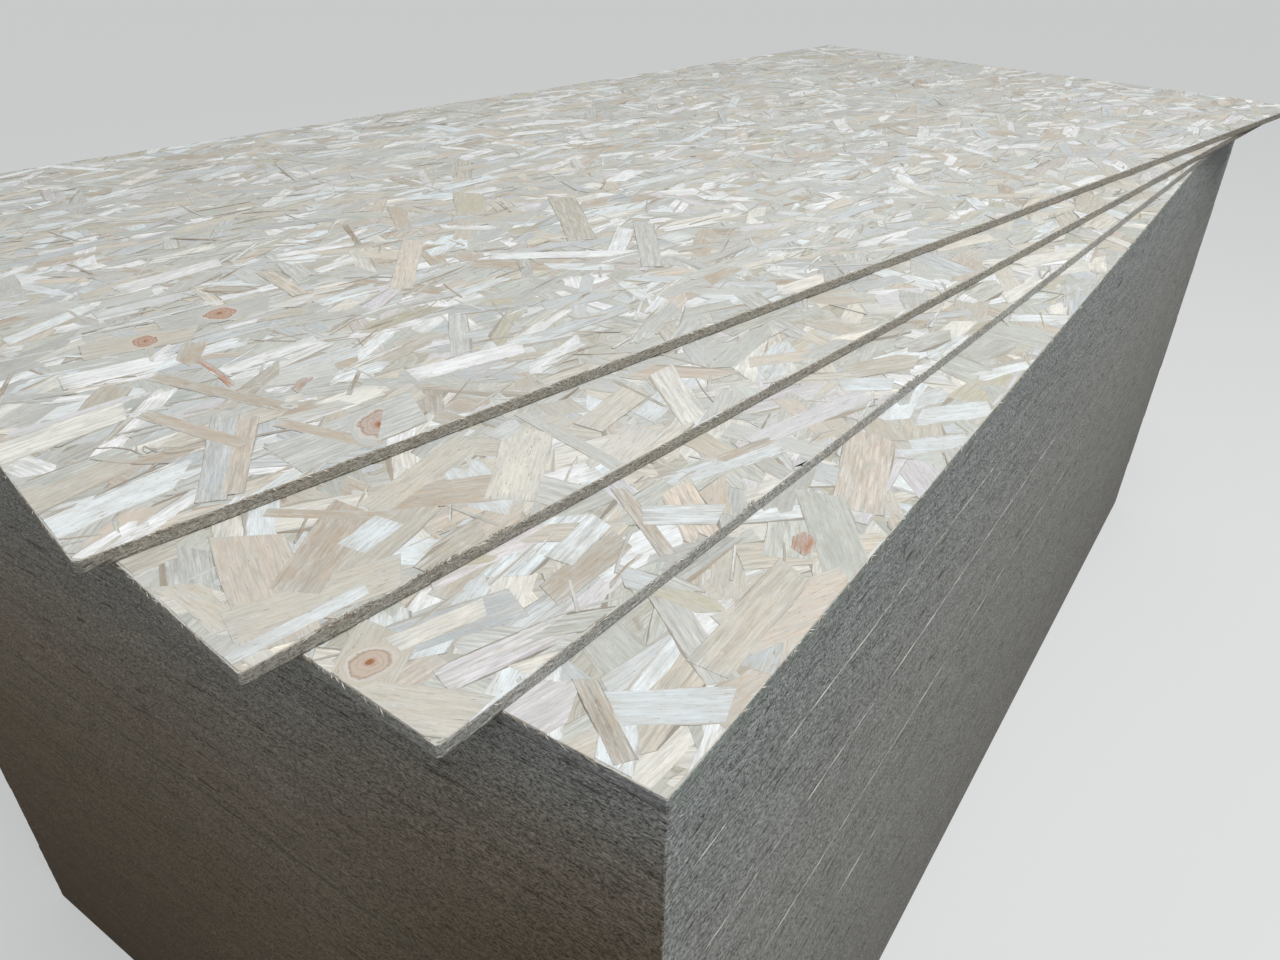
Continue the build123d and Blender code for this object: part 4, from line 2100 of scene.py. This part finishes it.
TOP_STRANDS = (
    laid(794, 250, 190, 28, 50, Tone.PALE_GREY),
    laid(797, 409, 220, 40, 58, Tone.BEIGE),
    laid(616, 569, 120, 22, 65, Tone.TAN),
    laid(731, 562, 130, 45, 58, Tone.OCHRE),
    laid(526, 544, 100, 8, 72, Tone.BARK, TORN_ENDS),
    laid(519, 394, 190, 28, 53, Tone.PEACH),
    laid(369, 431, 105, 20, 88, Tone.PEACH),
    laid(25, 108, 130, 32, 12, Tone.BEIGE),
    laid(140, 80, 150, 24, 62, Tone.COOL_GREY),
    laid(157, 73, 140, 18, 60, Tone.PEACH),
    laid(183, 362, 120, 44, -12, Tone.BEIGE),
    laid(274, 386, 130, 48, -6, Tone.PALE_GREY),
    laid(250, 42, 150, 62, 4, Tone.PALE_GREY),
    laid(226, 52, 108, 16, -66, Tone.TAN),
    laid(143, 138, 128, 17, -70, Tone.TAN),
    laid(191, 194, 168, 17, -66, Tone.TAN),
    laid(839, 241, 45, 35, 0, Tone.COOL_WHITE, CUT_ENDS),
    laid(775, 281, 120, 25, 40, Tone.BRIGHT_WITH_SHEEN),
    laid(684, 284, 191, 26, -38, Tone.BRIGHT_WITH_SHEEN, WEDGE_ENDS),
    laid(406, 97, 130, 30, -8, Tone.BRIGHT_WITH_SHEEN),
    laid(59, 64, 130, 35, 8, Tone.COOL_WHITE, WEDGE_ENDS),
    laid(56, 209, 130, 40, 8, Tone.WARM_WHITE),
    laid(262, 241, 120, 22, 6, Tone.BRIGHT_WITH_SHEEN),
    laid(459, 514, 105, 16, -12, Tone.BRIGHT_WITH_SHEEN),
    laid(231, 420, 215, 5, 0, Tone.COOL_WHITE, TORN_ENDS),
    laid(219, 469, 100, 22, -3, Tone.BRIGHT_WITH_SHEEN),
    laid(284, 544, 140, 32, 7, Tone.BRIGHT_WITH_SHEEN),
    laid(141, 306, 110, 35, -8, Tone.BRIGHT_WITH_SHEEN, WEDGE_ENDS),
    laid(588, 362, 40, 35, 20, Tone.TAN, TORN_ENDS),
    laid(706, 403, 50, 30, 0, Tone.OCHRE, TORN_ENDS),
    laid(690, 352, 40, 22, 10, Tone.OCHRE, TORN_ENDS),
    laid(674, 341, 18, 12, 0, Tone.RUST, TORN_ENDS),
    laid(204, 246, 96, 8, -89, Tone.RUST, TORN_ENDS, 4),
    laid(256, 157, 35, 10, 40, Tone.RUST, TORN_ENDS, 4),
    laid(209, 300, 70, 25, 60, Tone.TAN, TORN_ENDS, 3),
    laid(313, 451, 70, 24, -44, Tone.BARK, LENS_ENDS),
    laid(313, 452, 56, 16, -44, Tone.TAN, LENS_ENDS),
    laid(181, 338, 71, 5, 71, Tone.BEIGE, TORN_ENDS),
    laid(362, 662, 75, 6, -48, Tone.BARK, TORN_ENDS),
    laid(80, 141, 47, 1.6, -56, Tone.BARK, TORN_ENDS, 6.5),
    laid(94, 131, 19, 1.4, 84, Tone.BARK, TORN_ENDS, 2),
    laid(99, 129, 16, 1.2, 84, Tone.BARK, TORN_ENDS, 2.5),
    laid(104, 126, 9, 4, -50, Tone.BARK, LENS_ENDS),
    laid(115, 119, 46, 1.8, -50, Tone.BARK, TORN_ENDS, -9.4),
    laid(83, 118, 71, 1.5, -47, Tone.BARK, TORN_ENDS, -5),
    laid(225, 124, 20, 12, -60, Tone.WARM_WHITE, LENS_ENDS),
    laid(225, 124, 9, 5, -40, Tone.BARK, LENS_ENDS),
    laid(74, 84, 73, 5, 11, Tone.BRIGHT_WITH_SHEEN, TORN_ENDS, 4),
    laid(94, 39, 31, 2.5, -4, Tone.BRIGHT_WITH_SHEEN, TORN_ENDS, 2.6),
    laid(229, 433, 76, 3, 6, Tone.BRIGHT_WITH_SHEEN, TORN_ENDS, 5),
    laid(185, 322, 44, 9, 36, Tone.BRIGHT_WITH_SHEEN, TORN_ENDS, 1),
    laid(280, 340, 43, 12, -1, Tone.BRIGHT_WITH_SHEEN, WEDGE_ENDS, -3),
)
TOP_KNOTS = (
    Knot(184, 361, 46, 36, 68, Tone.BEIGE),
    Knot(274, 384, 52, 50, 20, Tone.PALE_GREY),
    Knot(269, 38, 78, 60, 54, Tone.PALE_GREY, 0.0, 0.4),
)
SECOND_STRANDS = (
    laid(60, 75, 150, 52, 70, Tone.PEACH),
    laid(140, 60, 160, 48, 20, Tone.BEIGE),
    laid(230, 70, 140, 40, -35, Tone.TAN),
    laid(300, 70, 130, 44, 40, Tone.CREAM),
    laid(80, 30, 130, 40, -15, Tone.CREAM),
    laid(118, 82, 120, 40, 34, Tone.TAN),
    laid(428, 80, 100, 32, 12, Tone.BEIGE),
    laid(353, 67, 140, 16, 85, Tone.PALE_GREY),
    laid(233, 114, 135, 30, 14, Tone.BEIGE),
    laid(142, 114, 105, 13, -50, Tone.TAN),
    laid(147, 69, 45, 28, 15, Tone.COOL_WHITE, CUT_ENDS),
    laid(329, 119, 40, 25, 5, Tone.COOL_WHITE),
    laid(463, 83, 80, 5, 84, Tone.BARK, TORN_ENDS),
    laid(54, 16, 110, 14, -1, Tone.COOL_WHITE),
)
THIRD_STRANDS = (
    laid(22, 88, 90, 46, 30, Tone.BEIGE),
    laid(12, 36, 96, 40, -62, Tone.CREAM),
    laid(267, 56, 105, 14, 60, Tone.TAN),
    laid(506, 50, 80, 22, 62, Tone.PEACH),
    laid(508, 39, 165, 25, -13, Tone.LILAC),
    laid(414, 54, 70, 12, -15, Tone.TAN, TORN_ENDS),
    laid(294, 33, 70, 30, -50, Tone.COOL_WHITE),
    laid(217, 75, 70, 25, 10, Tone.COOL_WHITE),
    laid(78, 81, 75, 20, -15, Tone.WARM_WHITE),
    laid(567, 58, 52, 10, 8, Tone.BEIGE),
    laid(605, 30, 60, 30, -50, Tone.COOL_WHITE),
)
THIRD_KNOTS = (Knot(22, 88, 44, 38, 0, Tone.BEIGE, -1.0, 0.6),)
FOURTH_STRANDS = (
    laid(414, 58, 150, 45, 18, Tone.PEACH),
    laid(306, 39, 130, 40, 36, Tone.GREEN_GREY),
    laid(200, 17, 120, 50, -25, Tone.PEACH),
    laid(177, 39, 142, 33, 1, Tone.BEIGE),
    laid(64, 39, 90, 32, -52, Tone.COOL_WHITE),
    laid(32, 68, 80, 16, 55, Tone.TAN),
    laid(32, 68, 70, 4, 55, Tone.BARK, TORN_ENDS),
    laid(276, 50, 36, 19, 20, Tone.RUST, LENS_ENDS),
)
SEAM_LINES = (
    SeamLine(960, 31, 71),
    SeamLine(960, 158, 650),
    SeamLine(936, 655, 863, 0.5),
    SeamLine(840, 53, 134),
    SeamLine(840, 148, 199, 0.5),
    SeamLine(840, 222, 363),
    SeamLine(840, 405, 1010),
    SeamLine(696, 177, 642),
    SeamLine(696, 660, 884, 0.5),
    SeamLine(696, 900, 1190, 0.5),
    SeamLine(552, 364, 484),
)
TOP_TUFTS = (Tuft(20, 75), Tuft(120, 150), Tuft(430, 475), Tuft(620, 640))
SECOND_TUFTS = (Tuft(55, 100), Tuft(130, 175), Tuft(205, 225), Tuft(560, 590))
THIRD_TUFTS = (Tuft(330, 345), Tuft(610, 660))
LOOSE_RECIPES = {
    "panel_top": FaceRecipe(
        TOP_BLENDS, TOP_STRANDS, linear(158, 153, 143), linear(166, 161, 152), TOP_KNOTS, TOP_TUFTS),
    "panel_second": FaceRecipe(
        LOWER_BLENDS, SECOND_STRANDS, linear(158, 154, 145), linear(173, 170, 162), (), SECOND_TUFTS),
    "panel_third": FaceRecipe(
        LOWER_BLENDS, THIRD_STRANDS, linear(169, 168, 163), linear(186, 185, 179), THIRD_KNOTS, THIRD_TUFTS),
    "panel_fourth": FaceRecipe(
        LOWER_BLENDS, FOURTH_STRANDS, linear(158, 165, 161), linear(173, 173, 172)),
}
BURIED_NODES = ("panels_odd", "panels_even")
SQUARED_NODES = ("panel_fourth", *BURIED_NODES)
LOOSE_SEED = 100
BURIED_SEED = 500
BURIED_SEED_STEP = 1000


def main() -> None:
    """Builds the stack and its studio, in order."""
    logging.basicConfig(level=logging.INFO, format="%(name)s %(message)s")
    low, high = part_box("panel_top")
    thickness = high.z - low.z
    materials = [PressedStrands().build(), SawnEdgeFinish().build(), KnotWood().build(), HiddenFace().build()]
    boards = {node: boards_of(node, thickness) for node in (*LOOSE_RECIPES, *BURIED_NODES)}
    for node in SQUARED_NODES:
        boards[node] = [sharper(board) for board in boards[node]]
    above: list[Board] = []
    for number, (node, recipe) in enumerate(LOOSE_RECIPES.items()):
        board = replace(boards[node][0], name=node)
        LooseBoard(board, list(above), recipe, LOOSE_SEED + number).build(materials)
        above.append(board)
    for number, node in enumerate(BURIED_NODES):
        seed = BURIED_SEED + BURIED_SEED_STEP * number
        BuriedBoards(node, boards[node], SEAM_LINES, seed).build(materials)
    PhotoCamera().build()
    Studio().build()


if __name__ == "__main__":
    main()
